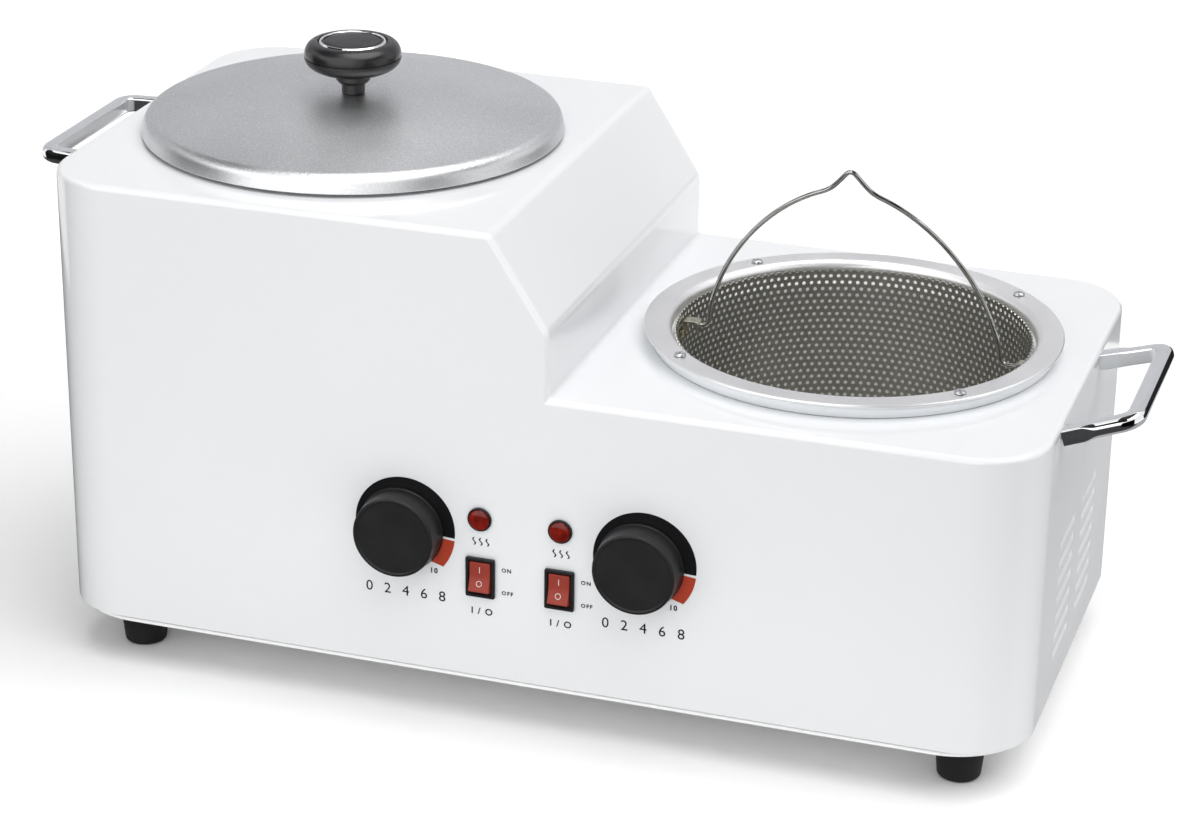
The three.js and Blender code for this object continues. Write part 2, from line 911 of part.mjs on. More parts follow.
function knobRingProfile() {
  const { ringOuterRadius, ringInnerRadius } = lidKnob;
  const bottom = ringSeat + clearance;
  const wide = (ringOuterRadius - ringInnerRadius) / 2;
  return [
    [ringInnerRadius, bottom],
    [ringOuterRadius, bottom],
    [ringOuterRadius, discTop],
    [ringOuterRadius - wide, discTop + lidKnob.capRise],
    [ringInnerRadius, discTop],
  ];
}

function knobCapProfile() {
  const radius = lidKnob.ringInnerRadius - clearance;
  const bottom = ringSeat + clearance;
  return [
    [0, bottom],
    [radius, bottom],
    [radius, discTop],
    [radius - lidKnob.capRise, discTop + lidKnob.capRise / 2],
    [0, discTop + lidKnob.capRise],
  ];
}

add('lid_knob_stem', turned(stemProfile(), facets.small), finishes.blackPlastic).position.set(...lidAt);
add('lid_knob', turned(discProfile(), facets.medium), finishes.glossBlack).position.set(...lidAt);
add('lid_knob_ring', turned(knobRingProfile(), facets.medium), finishes.chrome).position.set(...lidAt);
add('lid_knob_cap', turned(knobCapProfile(), facets.medium), finishes.blackPlastic).position.set(...lidAt);
const lidScrewLength = lid.sheet + 2 * clearance + lidKnob.boreDepth - clearance;
add('lid_knob_screw', screwGeometry(lidScrew, lidScrewLength), finishes.steel)
  .position.set(potX.left, midDepth, crownTop - lid.sheet - clearance);

// Basket, its bail ears and the bail

const basketBottom = pot.floorLevel + pot.wall + clearance;
const basketRim = ringTop.right - basket.rimDrop;
const bailAxis = basketRim - lug.drop;

function basketProfile() {
  const { sheet, cornerRadius } = basket;
  const centre = [basketRadius - cornerRadius, basketBottom + cornerRadius];
  return [
    [0, basketBottom],
    ...arc(centre, cornerRadius, -Math.PI / 2, 0, 2),
    [basketRadius, basketRim],
    [basketRadius - sheet, basketRim],
    ...arc(centre, cornerRadius - sheet, 0, -Math.PI / 2, 2),
    [0, basketBottom + sheet],
  ];
}

// Rows of holes round the wall, each row moved on by half the spacing of the one above.
function wallPerforations() {
  const { radius, rowPitch, rows, belowRim } = perforation;
  const [near, far] = [basketRadius - basket.sheet - overrun, basketRadius + overrun];
  const spacing = (4 * Math.PI) / facets.large;
  return Array.from({ length: rows }, (_, row) => row).flatMap((row) => (
    Array.from({ length: facets.large / 2 }, (_, column) => {
      const hole = rod(radius, near, far, facets.perforation).rotateY(Math.PI / 2);
      hole.rotateZ(spacing * (column + 0.25 + (row % 2) / 2));
      return solid(hole.translate(0, 0, basketRim - belowRim - row * rowPitch));
    })
  ));
}

// Holes in the floor: one in the middle, and two rings of six and twelve.
function floorPerforations() {
  const { radius, floorPitch } = perforation;
  return [0, 1, 2].flatMap((ringNumber) => {
    const count = Math.max(1, 6 * ringNumber);
    return Array.from({ length: count }, (_, i) => {
      const hole = rod(radius, basketBottom - overrun, basketBottom + basket.sheet + overrun, facets.perforation);
      return solid(hole.translate(ringNumber * floorPitch, 0, 0).rotateZ((2 * Math.PI * i) / count));
    });
  });
}

const earWall = basketRadius - basket.sheet;
const earPlate = earWall - lug.standOff; // outer face of the upright plate

// A folded ear on the right of the basket: a foot on the wall and an upright plate with a hole.
function earBody() {
  const half = lug.width / 2;
  const [low, high] = [bailAxis - lug.height / 2, bailAxis + lug.height / 2];
  const plate = solid(block([earPlate - lug.plate, -half, low], [earPlate, half, high]));
  const web = solid(block([earPlate - lug.plate, -half, low], [earWall + basket.sheet / 2, half, low + lug.plate]));
  const hole = rod(lug.holeRadius, -lug.plate - overrun, overrun, facets.tiny).rotateY(Math.PI / 2);
  return plate.add(web).subtract(solid(hole.translate(earPlate, 0, bailAxis)));
}

function mirroredAcross(manifold) {
  return solid(geometryOf(manifold).rotateZ(Math.PI));
}

function basketBody() {
  const bowl = without(solid(turned(basketProfile(), facets.large)), [
    ...wallPerforations(),
    ...floorPerforations(),
  ]);
  return joined([bowl, earBody(), mirroredAcross(earBody())]);
}

add('filter_basket', geometryOf(basketBody()), finishes.perforated)
  .position.set(potX.right, midDepth, 0);

// The wire's line over the bail axis: an arch with a finger kink, and ends bent into the ears.
class BailCurve extends THREE.Curve {
  getPoint(share, target = new THREE.Vector3()) {
    const end = earPlate + bail.endOverhang;
    const halfWidth = earPlate - bail.drawnIn;
    const pinShare = 0.05;
    const side = share < 0.5 ? -1 : 1;
    const along = 1 - Math.abs(2 * share - 1);
    if (along < pinShare) {
      const x = end + (halfWidth - end) * (along / pinShare);
      return target.set(side * x, 0, 0);
    }
    const angle = (((along - pinShare) / (1 - pinShare)) * Math.PI) / 2;
    const power = 2 / bail.archPower;
    const x = halfWidth * Math.cos(angle) ** power;
    const kink = Math.max(0, 1 - x / bail.kinkHalfWidth);
    const rise = bail.kinkHeight * kink * kink * (3 - 2 * kink);
    return target.set(side * x, 0, bail.height * Math.sin(angle) ** power + rise);
  }
}

function circleOutline(radius, sides) {
  const outline = Array.from({ length: sides }, (_, i) => {
    const angle = (2 * Math.PI * i) / sides;
    return new THREE.Vector2(radius * Math.cos(angle), radius * Math.sin(angle));
  });
  return new THREE.Shape(outline);
}

function tube(path, radius, sides, steps) {
  return new THREE.ExtrudeGeometry(circleOutline(radius, sides), { steps, extrudePath: path });
}

const bailWire = tube(new BailCurve(), bail.wireRadius, wireSides, archSteps);
bailWire.rotateX(THREE.MathUtils.degToRad(bail.lean));
add('basket_bail', bailWire, finishes.chrome)
  .position.set(potX.right, midDepth, bailAxis);

// Handles and their screws

function handleGeometry(rise) {
  const { bar, rootHalfSpan, gripHalfSpan, depth, outerCorner, innerCorner, bevel } = handle;
  const half = bar / 2 - bevel;
  const outline = roundedOutline([
    [bevel, -rootHalfSpan - half, 0],
    [depth + half, -gripHalfSpan - half, outerCorner],
    [depth + half, gripHalfSpan + half, outerCorner],
    [bevel, rootHalfSpan + half, 0],
    [bevel, rootHalfSpan - half, 0],
    [depth - half, gripHalfSpan - half, innerCorner],
    [depth - half, -gripHalfSpan + half, innerCorner],
    [bevel, -rootHalfSpan + half, 0],
  ]);
  const geometry = new THREE.ExtrudeGeometry(outline, {
    depth: bar - 2 * bevel,
    bevelEnabled: true,
    bevelThickness: bevel,
    bevelSize: bevel,
    bevelSegments: 1,
    curveSegments: handleCornerSteps,
  });
  const shear = new THREE.Matrix4().makeShear(0, rise / depth, 0, 0, 0, 0);
  return geometry.translate(0, 0, -half).applyMatrix4(shear);
}

for (const side of ['left', 'right']) {
  const out = side === 'left' ? -1 : 1;
  const rise = side === 'left' ? handle.leftRise : handle.rightRise;
  const turn = side === 'left' ? Math.PI : 0;
  const shift = side === 'left' ? handle.leftShift : handle.rightShift;
  const wall = side === 'left' ? 0 : housing.length;
  const bores = [-1, 1].map((sign) => {
    const radius = handleScrew.shankRadius + clearance;
    const bore = rod(radius, -overrun, handleScrew.depth + clearance, facets.tiny);
    return solid(bore.rotateY(Math.PI / 2).translate(0, sign * handle.rootHalfSpan, 0));
  });
  const body = without(solid(handleGeometry(rise)), bores);
  const geometry = geometryOf(body).rotateZ(turn);
  add(`handle_${side}`, geometry, finishes.chrome)
    .position.set(wall + out * clearance, midDepth + shift, handleLevel[side]);
  handleRoots(side).forEach(([y, z], i) => {
    const length = housing.sheet + 2 * clearance + handleScrew.depth;
    const screw = screwGeometry(handleScrew, length).rotateY((out * Math.PI) / 2);
    const x = wall - out * (housing.sheet + clearance);
    add(`handle_screw_${side}_${i + 1}`, screw, finishes.steel).position.set(x, y, z);
  });
}

// Thermostats: body behind the panel, shaft, knob and sensing bulb

function knobProfile() {
  const { baseRadius, faceRadius, height, faceEdge, skirtHeight, dish, boreDepth } = knob;
  const boreRadius = thermostat.bushRadius + 2 * clearance;
  return [
    [boreRadius, clearance],
    [baseRadius, clearance],
    [baseRadius, skirtHeight],
    [faceRadius, height - faceEdge],
    [faceRadius - faceEdge, height],
    [faceRadius - 2 * faceEdge, height - dish],
    [0, height - dish],
    [0, boreDepth],
    [thermostat.shaftRadius + clearance, boreDepth],
    [thermostat.shaftRadius + clearance, thermostat.bushReach + 2 * clearance],
    [boreRadius, thermostat.bushReach + 2 * clearance],
  ];
}

function thermostatBody(x, z) {
  const { width, height, depth, bushRadius, bushReach, shaftRadius, shaftSink } = thermostat;
  const front = panelInside + clearance;
  const box = solid(block([x - width / 2, front, z - height / 2], [x + width / 2, front + depth, z + height / 2]));
  const bush = solid(outOfFront(rod(bushRadius, -front - overrun, bushReach, facets.small), x, z));
  const bore = solid(outOfFront(rod(shaftRadius + clearance, -shaftSink, bushReach + overrun, facets.small), x, z));
  return box.add(bush).subtract(bore);
}

// From the thermostat's back, down and in under the pot, to a bulb across the pot's floor.
function capillaryBody(side, x, z) {
  const back = panelInside + clearance + thermostat.depth;
  const bulbZ = pot.floorLevel - clearance - capillary.bulbRadius;
  const bulbY = midDepth - capillary.bulbOffset;
  const low = bulbZ - capillary.dip;
  const inward = side === 'left' ? 1 : -1;
  const start = potX[side] + (inward * capillary.bulbLength) / 2;
  const path = new THREE.CatmullRomCurve3([
    new THREE.Vector3(x, back + clearance + capillary.radius, z - thermostat.height / 4),
    new THREE.Vector3(x, back + capillary.backGap, z - thermostat.height / 3),
    new THREE.Vector3(x, back + capillary.backGap, low),
    new THREE.Vector3((x + start) / 2 + inward * capillary.dip, (back + bulbY) / 2, low),
    new THREE.Vector3(start + inward * capillary.dip, bulbY, low),
    new THREE.Vector3(start - inward * capillary.bulbRadius, bulbY, bulbZ),
  ]);
  const wire = solid(tube(path, capillary.radius, capillarySides, capillarySteps));
  const bulb = rod(capillary.bulbRadius, -capillary.bulbLength / 2, capillary.bulbLength / 2, facets.tiny);
  return wire.add(solid(bulb.rotateY(Math.PI / 2).translate(potX[side], bulbY, bulbZ)));
}

for (const side of ['left', 'right']) {
  const x = knobX[side];
  const z = housingBottom + knob.centreHeight;
  add(`thermostat_${side}`, geometryOf(thermostatBody(x, z)), finishes.ceramic);
  add(`thermostat_bulb_${side}`, geometryOf(capillaryBody(side, x, z)), finishes.copper);
  const shaft = rod(thermostat.shaftRadius, clearance - thermostat.shaftSink, knob.boreDepth - clearance, facets.small);
  add(`thermostat_shaft_${side}`, outOfFront(shaft, 0, 0), finishes.steel).position.set(x, 0, z);
  const grip = outOfFront(turned(knobProfile(), facets.medium), 0, 0);
  add(`thermostat_knob_${side}`, grip, finishes.blackPlastic).position.set(x, 0, z);
}

// Switches: a bezel and body in the panel, and a rocker that rests with its upper end pressed in

const switchHalf = {
  x: rocker.cutoutWidth / 2 - clearance,
  z: rocker.cutoutLength / 2 - clearance,
};
const cavityHalf = { x: switchHalf.x - rocker.wall, z: switchHalf.z - rocker.wall };

function switchBody() {
  const { bezelWidth, bezelLength, bezelRise, bodyDepth, cavityDepth } = rocker;
  const face = -clearance - bezelRise;
  const bezel = solid(block(
    [-bezelWidth / 2, face, -bezelLength / 2],
    [bezelWidth / 2, -clearance, bezelLength / 2],
  ));
  const body = solid(block(
    [-switchHalf.x, face / 2, -switchHalf.z],
    [switchHalf.x, bodyDepth, switchHalf.z],
  ));
  const cavity = solid(block(
    [-cavityHalf.x, face - overrun, -cavityHalf.z],
    [cavityHalf.x, cavityDepth, cavityHalf.z],
  ));
  return bezel.add(body).subtract(cavity);
}

// The key's side as [y, z] points about its pivot: a shallow V in front, and a narrower back.
function rockerGeometry() {
  const { bezelRise, pivotDepth, middleRise, endRise, frontHalf, sideHalf, sideDepth } = rocker;
  const { rearHalf, rearDepth, swing } = rocker;
  const bezelFace = -pivotDepth - clearance - bezelRise;
  const profile = [
    [bezelFace - endRise, -frontHalf],
    [-sideDepth, -sideHalf],
    [rearDepth, -rearHalf],
    [rearDepth, rearHalf],
    [-sideDepth, sideHalf],
    [bezelFace - endRise, frontHalf],
    [bezelFace - middleRise, 0],
  ];
  const shape = new THREE.Shape(profile.map(([y, z]) => new THREE.Vector2(y, z)));
  const width = 2 * (cavityHalf.x - clearance);
  const geometry = new THREE.ExtrudeGeometry(shape, { depth: width, bevelEnabled: false });
  const axes = new THREE.Matrix4().makeBasis(
    new THREE.Vector3(0, 1, 0),
    new THREE.Vector3(0, 0, 1),
    new THREE.Vector3(1, 0, 0),
  );
  const rest = -THREE.MathUtils.degToRad(swing / 2);
  return geometry.translate(0, 0, -width / 2).applyMatrix4(axes).rotateX(rest);
}

for (const side of ['left', 'right']) {
  const x = rockerX[side];
  const z = housingBottom + rocker.centreHeight;
  add(`switch_body_${side}`, geometryOf(switchBody()), finishes.blackPlastic).position.set(x, 0, z);
  add(`switch_rocker_${side}`, rockerGeometry(), finishes.redPlastic)
    .position.set(x, rocker.pivotDepth, z);
}

// Lamps: a bezel and body through the panel, and a domed lens

function lampBodyProfile() {
  const { bezelRadius, bezelRise, bodyRadius, bodyDepth, lensRadius } = lamp;
  const face = clearance + bezelRise;
  return [
    [0, -bodyDepth],
    [bodyRadius, -bodyDepth],
    [bodyRadius, clearance],
    [bezelRadius, clearance],
    [bezelRadius, face],
    [lensRadius + clearance, face],
    [lensRadius + clearance, 2 * clearance],
    [0, 2 * clearance],
  ];
}

function lampLensProfile() {
  const { bezelRise, lensRadius, lensRise } = lamp;
  const bottom = 3 * clearance;
  const spring = clearance + bezelRise;
  const dome = arc([0, 0], 1, 0, Math.PI / 2, 3)
    .map(([radius, height]) => [lensRadius * radius, spring + height * (lensRise - bezelRise)]);
  return [[0, bottom], [lensRadius, bottom], ...dome];
}

for (const side of ['left', 'right']) {
  const x = lampX[side];
  const z = housingBottom + lamp.centreHeight;
  const holder = outOfFront(turned(lampBodyProfile(), facets.small), 0, 0);
  add(`lamp_body_${side}`, holder, finishes.blackPlastic).position.set(x, 0, z);
  add(`lamp_lens_${side}`, outOfFront(turned(lampLensProfile(), facets.small), 0, 0), finishes.lampRed)
    .position.set(x, 0, z);
}

// Mains inlet in the back, and the terminal block on the base plate

function inletBody() {
  const { width, height, plate, bodyWidth, bodyHeight, bodyDepth } = inlet;
  const { socketWidth, socketHeight, socketDepth, corner } = inlet;
  const face = clearance + plate;
  const flange = solid(block([-width / 2, clearance, -height / 2], [width / 2, face, height / 2]));
  const body = solid(block([-bodyWidth / 2, -bodyDepth, -bodyHeight / 2], [bodyWidth / 2, face, bodyHeight / 2]));
  const [w, h] = [socketWidth / 2, socketHeight / 2];
  const outline = [[-w, -h], [w, -h], [w, h - corner], [w - corner, h], [corner - w, h], [-w, h - corner]];
  const socket = solid(sideways(outline, face - socketDepth, face + overrun));
  const pins = [-1, 0, 1].map((place) => {
    const x = place * inlet.pinSpacing;
    const z = place === 0 ? inlet.pinStep : -inlet.pinStep;
    const root = face - socketDepth - overrun / 2;
    return solid(block(
      [x - inlet.pinWidth / 2, root, z - inlet.pinHeight / 2],
      [x + inlet.pinWidth / 2, root + overrun / 2 + inlet.pinLength, z + inlet.pinHeight / 2],
    ));
  });
  return joined([flange.add(body).subtract(socket), ...pins]);
}

add('mains_inlet', geometryOf(inletBody()), finishes.blackPlastic)
  .position.set(middle, backOutside, housingBottom + inlet.centreHeight);

function terminalBody() {
  const { length, width, height, notchDepth, notchWidth, bays } = terminals;
  const bar = solid(block([-length / 2, -width / 2, 0], [length / 2, width / 2, height]));
  const notches = Array.from({ length: bays - 1 }, (_, i) => {
    const x = -length / 2 + (length / bays) * (i + 1);
    return solid(block(
      [x - notchWidth / 2, -width, height - notchDepth],
      [x + notchWidth / 2, width, height + overrun],
    ));
  });
  return without(bar, notches);
}

add('terminal_block', geometryOf(terminalBody()), finishes.ceramic)
  .position.set(middle, housing.depth - terminals.fromBack, plateTop + clearance);

// The origin lies under the middle of the bounding box

group.updateMatrixWorld(true);
const bounds = new THREE.Box3().setFromObject(group, true);
const centre = bounds.getCenter(new THREE.Vector3());
group.position.set(-centre.x, -centre.y, -bounds.min.z);

export default group;
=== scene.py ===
"""Looks of a twin-pot wax heater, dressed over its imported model.

Surfaces are worked out in millimetres, with x = 0 on the housing's left end, y = 0 on its front face and
z = 0 on the table, and are moved into the model's frame, in metres, when they become meshes.
"""

import logging
import math
from contextlib import contextmanager
from dataclasses import dataclass, field, replace
from enum import Enum
from typing import Iterator, Sequence

import bmesh
import bpy
import numpy as np
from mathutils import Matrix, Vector


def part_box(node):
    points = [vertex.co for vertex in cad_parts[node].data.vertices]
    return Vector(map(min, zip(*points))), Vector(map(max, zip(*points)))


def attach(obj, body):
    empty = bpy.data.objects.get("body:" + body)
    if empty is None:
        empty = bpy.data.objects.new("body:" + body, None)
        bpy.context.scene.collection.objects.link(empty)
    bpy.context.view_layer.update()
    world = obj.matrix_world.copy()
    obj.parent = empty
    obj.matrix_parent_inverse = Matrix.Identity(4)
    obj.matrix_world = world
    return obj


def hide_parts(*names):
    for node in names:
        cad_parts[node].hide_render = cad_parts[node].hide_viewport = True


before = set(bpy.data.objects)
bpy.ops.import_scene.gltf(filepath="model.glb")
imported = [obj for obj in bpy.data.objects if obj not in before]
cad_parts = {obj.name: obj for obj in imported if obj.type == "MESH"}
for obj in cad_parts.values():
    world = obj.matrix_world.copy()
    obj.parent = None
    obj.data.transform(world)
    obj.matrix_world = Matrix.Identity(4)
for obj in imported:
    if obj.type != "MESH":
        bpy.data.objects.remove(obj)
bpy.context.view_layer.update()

log = logging.getLogger("wax_heater")

MM = 0.001
WELD = 2e-6
CLEARANCE = 0.3
SHARP = 32.0
HOUSING_LOW, HOUSING_HIGH = (np.array(corner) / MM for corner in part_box("housing"))
ORIGIN = np.array((-HOUSING_LOW[0], -HOUSING_LOW[1], 0.0))


# Surfaces


@dataclass
class Surface:
    """Points in millimetres, and faces as arrays of point numbers with one row a face."""

    points: np.ndarray
    faces: list[np.ndarray]

    def moved(self, x: float = 0.0, y: float = 0.0, z: float = 0.0) -> "Surface":
        """The surface, shifted."""
        return Surface(self.points + np.array((x, y, z)), self.faces)

    def turned(self, matrix: Sequence[Sequence[float]]) -> "Surface":
        """The surface with each point multiplied by a 3 x 3 matrix."""
        return Surface(self.points @ np.array(matrix, float).T, self.faces)

    def facing_front(self) -> "Surface":
        """The surface with its +Z turned to -Y, out of the control panel."""
        return self.turned(((1, 0, 0), (0, 0, -1), (0, 1, 0)))

    def facing_back(self) -> "Surface":
        """The surface with its +Z turned to +Y, out of the back."""
        return self.turned(((-1, 0, 0), (0, 0, 1), (0, 1, 0)))

    def upside_down(self) -> "Surface":
        """The surface with its +Z turned to -Z."""
        return self.turned(((1, 0, 0), (0, -1, 0), (0, 0, -1)))

    def mirrored(self, out: float) -> "Surface":
        """The surface with x multiplied by 1 or -1."""
        return self.turned(((out, 0, 0), (0, 1, 0), (0, 0, 1)))

    def leaned(self, degrees: float) -> "Surface":
        """The surface turned about the X axis."""
        sine, cosine = math.sin(math.radians(degrees)), math.cos(math.radians(degrees))
        return self.turned(((1, 0, 0), (0, cosine, -sine), (0, sine, cosine)))

    def spun(self, radians: float) -> "Surface":
        """The surface turned about the Z axis."""
        sine, cosine = math.sin(radians), math.cos(radians)
        return self.turned(((cosine, -sine, 0), (sine, cosine, 0), (0, 0, 1)))


def together(*surfaces: Surface) -> Surface:
    """One surface made of several.

    Args:
        surfaces: The surfaces in order.

    Returns:
        Their points and faces, the faces counted on from surface to surface.
    """
    starts = np.cumsum([0] + [len(surface.points) for surface in surfaces[:-1]])
    faces = [group + start for surface, start in zip(surfaces, starts) for group in surface.faces]
    return Surface(np.concatenate([surface.points for surface in surfaces]), faces)


def grid_quads(rows: int, columns: int, wrap_rows: bool = False, wrap_columns: bool = False) -> np.ndarray:
    """Four corners for each cell of a grid of points.

    Args:
        rows: Points along the first parameter.
        columns: Points along the second parameter.
        wrap_rows: Joins the last row to the first.
        wrap_columns: Joins the last column to the first.

    Returns:
        An array of shape (cells, 4).
    """
    i = np.arange(rows if wrap_rows else rows - 1)
    j = np.arange(columns if wrap_columns else columns - 1)
    i, j = np.meshgrid(i, j, indexing="ij")
    after_i, after_j = (i + 1) % rows, (j + 1) % columns
    corners = (i * columns + j, i * columns + after_j, after_i * columns + after_j, after_i * columns + j)
    return np.stack(corners, -1).reshape(-1, 4)


def grid_surface(grid: np.ndarray, wrap_rows: bool = False, wrap_columns: bool = False) -> Surface:
    """A surface over a grid of points of shape (rows, columns, 3), wrapped as grid_quads says."""
    rows, columns = grid.shape[:2]
    return Surface(grid.reshape(-1, 3), [grid_quads(rows, columns, wrap_rows, wrap_columns)])


def full_turn(steps: int) -> np.ndarray:
    """Angles at equal steps round a full turn."""
    return np.linspace(0, 2 * np.pi, steps, endpoint=False)


def polar(radius: np.ndarray, height: np.ndarray, angle: np.ndarray) -> np.ndarray:
    """Points (r cos a, r sin a, z), with a row for each radius and height and a column for each angle."""
    return np.stack((radius * np.cos(angle), radius * np.sin(angle), height + 0 * angle), -1)


def lathe(profile: Sequence[Sequence[float]], segments: int = 96) -> Surface:
    """Turns a profile about the Z axis, as polar does.

    Args:
        profile: Points (r, z) in order. One with an end off the axis is closed on itself.
        segments: Steps round the axis.

    Returns:
        The turned surface.
    """
    line = np.asarray(profile, float)
    ringed = line[0, 0] > 0 or line[-1, 0] > 0
    return grid_surface(polar(line[:, :1], line[:, 1:], full_turn(segments)), ringed, True)


def plug(radius: float, reach: float, segments: int = 32) -> Surface:
    """A closed cylinder from reach below z = 0 to reach above it."""
    return lathe(((0, -reach), (radius, -reach), (radius, reach), (0, reach)), segments)


def loft(rings: Sequence[np.ndarray], capped: bool = True) -> Surface:
    """Joins outlines into one skin.

    Args:
        rings: Outlines of equal count, each of shape (n, 3).
        capped: Whether both ends are closed flat.

    Returns:
        The skin, with its caps.
    """
    stack = np.asarray(rings, float)
    count, size = stack.shape[:2]
    skin = grid_surface(stack, False, True)
    if capped:
        skin.faces += [np.arange(size)[None, ::-1], (np.arange(size) + (count - 1) * size)[None, :]]
    return skin


def level(outline: np.ndarray, height: float) -> np.ndarray:
    """A plan outline of shape (n, 2) lifted to a height."""
    return np.column_stack((outline, np.full(len(outline), height)))


def rounded(corners: Sequence[Sequence[float]], steps: int = 6, closed: bool = True) -> np.ndarray:
    """An outline with its corners replaced by arcs.

    Each corner is (x, y, radius). The arc touches both sides, so it starts radius / tan(half the corner's
    angle) before the corner, and its points turn evenly about the centre on the bisector.

    Args:
        corners: The corners in order.
        steps: Steps along each arc.
        closed: Whether the last corner joins the first.

    Returns:
        An array of shape (n, 2).
    """
    given = np.asarray(corners, float)
    points, radii = given[:, :2], given[:, 2]
    out = []
    for i, (corner, radius) in enumerate(zip(points, radii)):
        at_end = not closed and i in (0, len(points) - 1)
        if radius <= 0 or at_end:
            out.append(corner[None, :])
            continue
        before = points[i - 1] - corner
        after = points[(i + 1) % len(points)] - corner
        before, after = before / np.linalg.norm(before), after / np.linalg.norm(after)
        half = np.arccos(np.clip(before @ after, -1, 1)) / 2
        bisector = (before + after) / np.linalg.norm(before + after)
        centre = corner + bisector * radius / np.sin(half)
        start = corner + before * radius / np.tan(half) - centre
        end = corner + after * radius / np.tan(half) - centre
        arc = np.arctan2(start[0] * end[1] - start[1] * end[0], start @ end)
        turn = np.linspace(0, arc, steps + 1)
        x = start[0] * np.cos(turn) - start[1] * np.sin(turn)
        y = start[0] * np.sin(turn) + start[1] * np.cos(turn)
        out.append(centre + np.column_stack((x, y)))
    return np.concatenate(out)


def rectangle(width: float, depth: float, radius: float, steps: int = 6) -> np.ndarray:
    """A rounded rectangle about the origin, anticlockwise."""
    x, y = width / 2, depth / 2
    return rounded(((x, -y, radius), (x, y, radius), (-x, y, radius), (-x, -y, radius)), steps)


def sweep(path: np.ndarray, section: np.ndarray, up: Sequence[float] = (0.0, 1.0, 0.0)) -> Surface:
    """Carries a section along a path.

    Each station's side direction is the tangent crossed with up, and its own up is the side crossed with the
    tangent. A point is path + side * u + own up * v, with (u, v) on the section.

    Args:
        path: Points of shape (n, 3).
        section: Points of shape (k, 2), or (n, k, 2) where the section changes along the path.
        up: A direction that is never along the path.

    Returns:
        The swept skin, closed at both ends.
    """
    tangent = np.gradient(path, axis=0)
    tangent /= np.linalg.norm(tangent, axis=1, keepdims=True)
    side = np.cross(tangent, up)
    side /= np.linalg.norm(side, axis=1, keepdims=True)
    own_up = np.cross(side, tangent)
    sections = np.broadcast_to(section, (len(path),) + section.shape[-2:])
    rings = path[:, None] + sections[..., :1] * side[:, None] + sections[..., 1:] * own_up[:, None]
    return loft(rings)


def circle(radius: float, sides: int) -> np.ndarray:
    """A circle as an outline."""
    angle = full_turn(sides)
    return radius * np.column_stack((np.cos(angle), np.sin(angle)))


def evenly(path: np.ndarray, count: int) -> np.ndarray:
    """Points at equal steps along a path, by its running length.

    Args:
        path: Points of shape (n, 3).
        count: How many points to give.

    Returns:
        An array of shape (count, 3).
    """
    length = np.concatenate(((0.0,), np.cumsum(np.linalg.norm(np.diff(path, axis=0), axis=1))))
    wanted = np.linspace(0, length[-1], count)
    return np.column_stack([np.interp(wanted, length, path[:, i]) for i in range(3)])


def block(low: Sequence[float], high: Sequence[float]) -> Surface:
    """A closed box as a loft of two rectangles.

    Args:
        low: The corner with the least x, y and z.
        high: The opposite corner.

    Returns:
        The box.
    """
    (x0, y0, z0), (x1, y1, z1) = low, high
    plan = np.array(((x0, y0), (x1, y0), (x1, y1), (x0, y1)), float)
    return loft((level(plan, z0), level(plan, z1)))


def block_about(middle: Sequence[float], halves: Sequence[float]) -> Surface:
    """A closed box about its middle, from half its size each way."""
    return block(np.subtract(middle, halves), np.add(middle, halves))


# Meshes


def linked(name: str, data: bpy.types.ID) -> bpy.types.Object:
    """Puts a mesh, text, lamp or camera into the scene.

    Args:
        name: The object's name.
        data: What it shows.

    Returns:
        The new object.
    """
    made = bpy.data.objects.new(name, data)
    bpy.context.scene.collection.objects.link(made)
    return made


def in_frame(points: np.ndarray) -> np.ndarray:
    """Points in millimetres as one run of coordinates in the model's frame."""
    return ((points - ORIGIN) * MM).astype(np.float32).ravel()


@contextmanager
def editing(mesh: bpy.types.Mesh) -> Iterator[bmesh.types.BMesh]:
    """Opens a mesh for editing, and writes it back at the end.

    Args:
        mesh: The mesh to edit.

    Yields:
        Its editable form.
    """
    shape = bmesh.new()
    shape.from_mesh(mesh)
    yield shape
    shape.to_mesh(mesh)
    shape.free()


def mesh_object(name: str, surface: Surface, sharp: float = SHARP) -> bpy.types.Object:
    """Puts a surface into a mesh in the model's frame, welded, with its faces pointing out.

    Args:
        name: The object's name.
        surface: The surface in millimetres.
        sharp: Edges that turn by more than this many degrees stay sharp.

    Returns:
        The linked object.
    """
    mesh = bpy.data.meshes.new(name)
    sizes = np.concatenate([np.full(len(group), group.shape[1]) for group in surface.faces])
    corners = np.concatenate([group.ravel() for group in surface.faces])
    mesh.vertices.add(len(surface.points))
    mesh.vertices.foreach_set("co", in_frame(surface.points))
    mesh.loops.add(len(corners))
    mesh.loops.foreach_set("vertex_index", corners.astype(np.int32))
    mesh.polygons.add(len(sizes))
    mesh.polygons.foreach_set("loop_start", np.concatenate(((0,), np.cumsum(sizes)[:-1])).astype(np.int32))
    mesh.update(calc_edges=True)
    with editing(mesh) as shape:
        bmesh.ops.remove_doubles(shape, verts=shape.verts, dist=WELD)
        bmesh.ops.recalc_face_normals(shape, faces=shape.faces)
    smooth(mesh, sharp)
    return linked(name, mesh)


def smooth(mesh: bpy.types.Mesh, sharp: float) -> None:
    """Shades a mesh smooth, but for edges that turn by more than an angle in degrees."""
    mesh.polygons.foreach_set("use_smooth", np.ones(len(mesh.polygons), bool))
    mesh.set_sharp_from_angle(angle=math.radians(sharp))


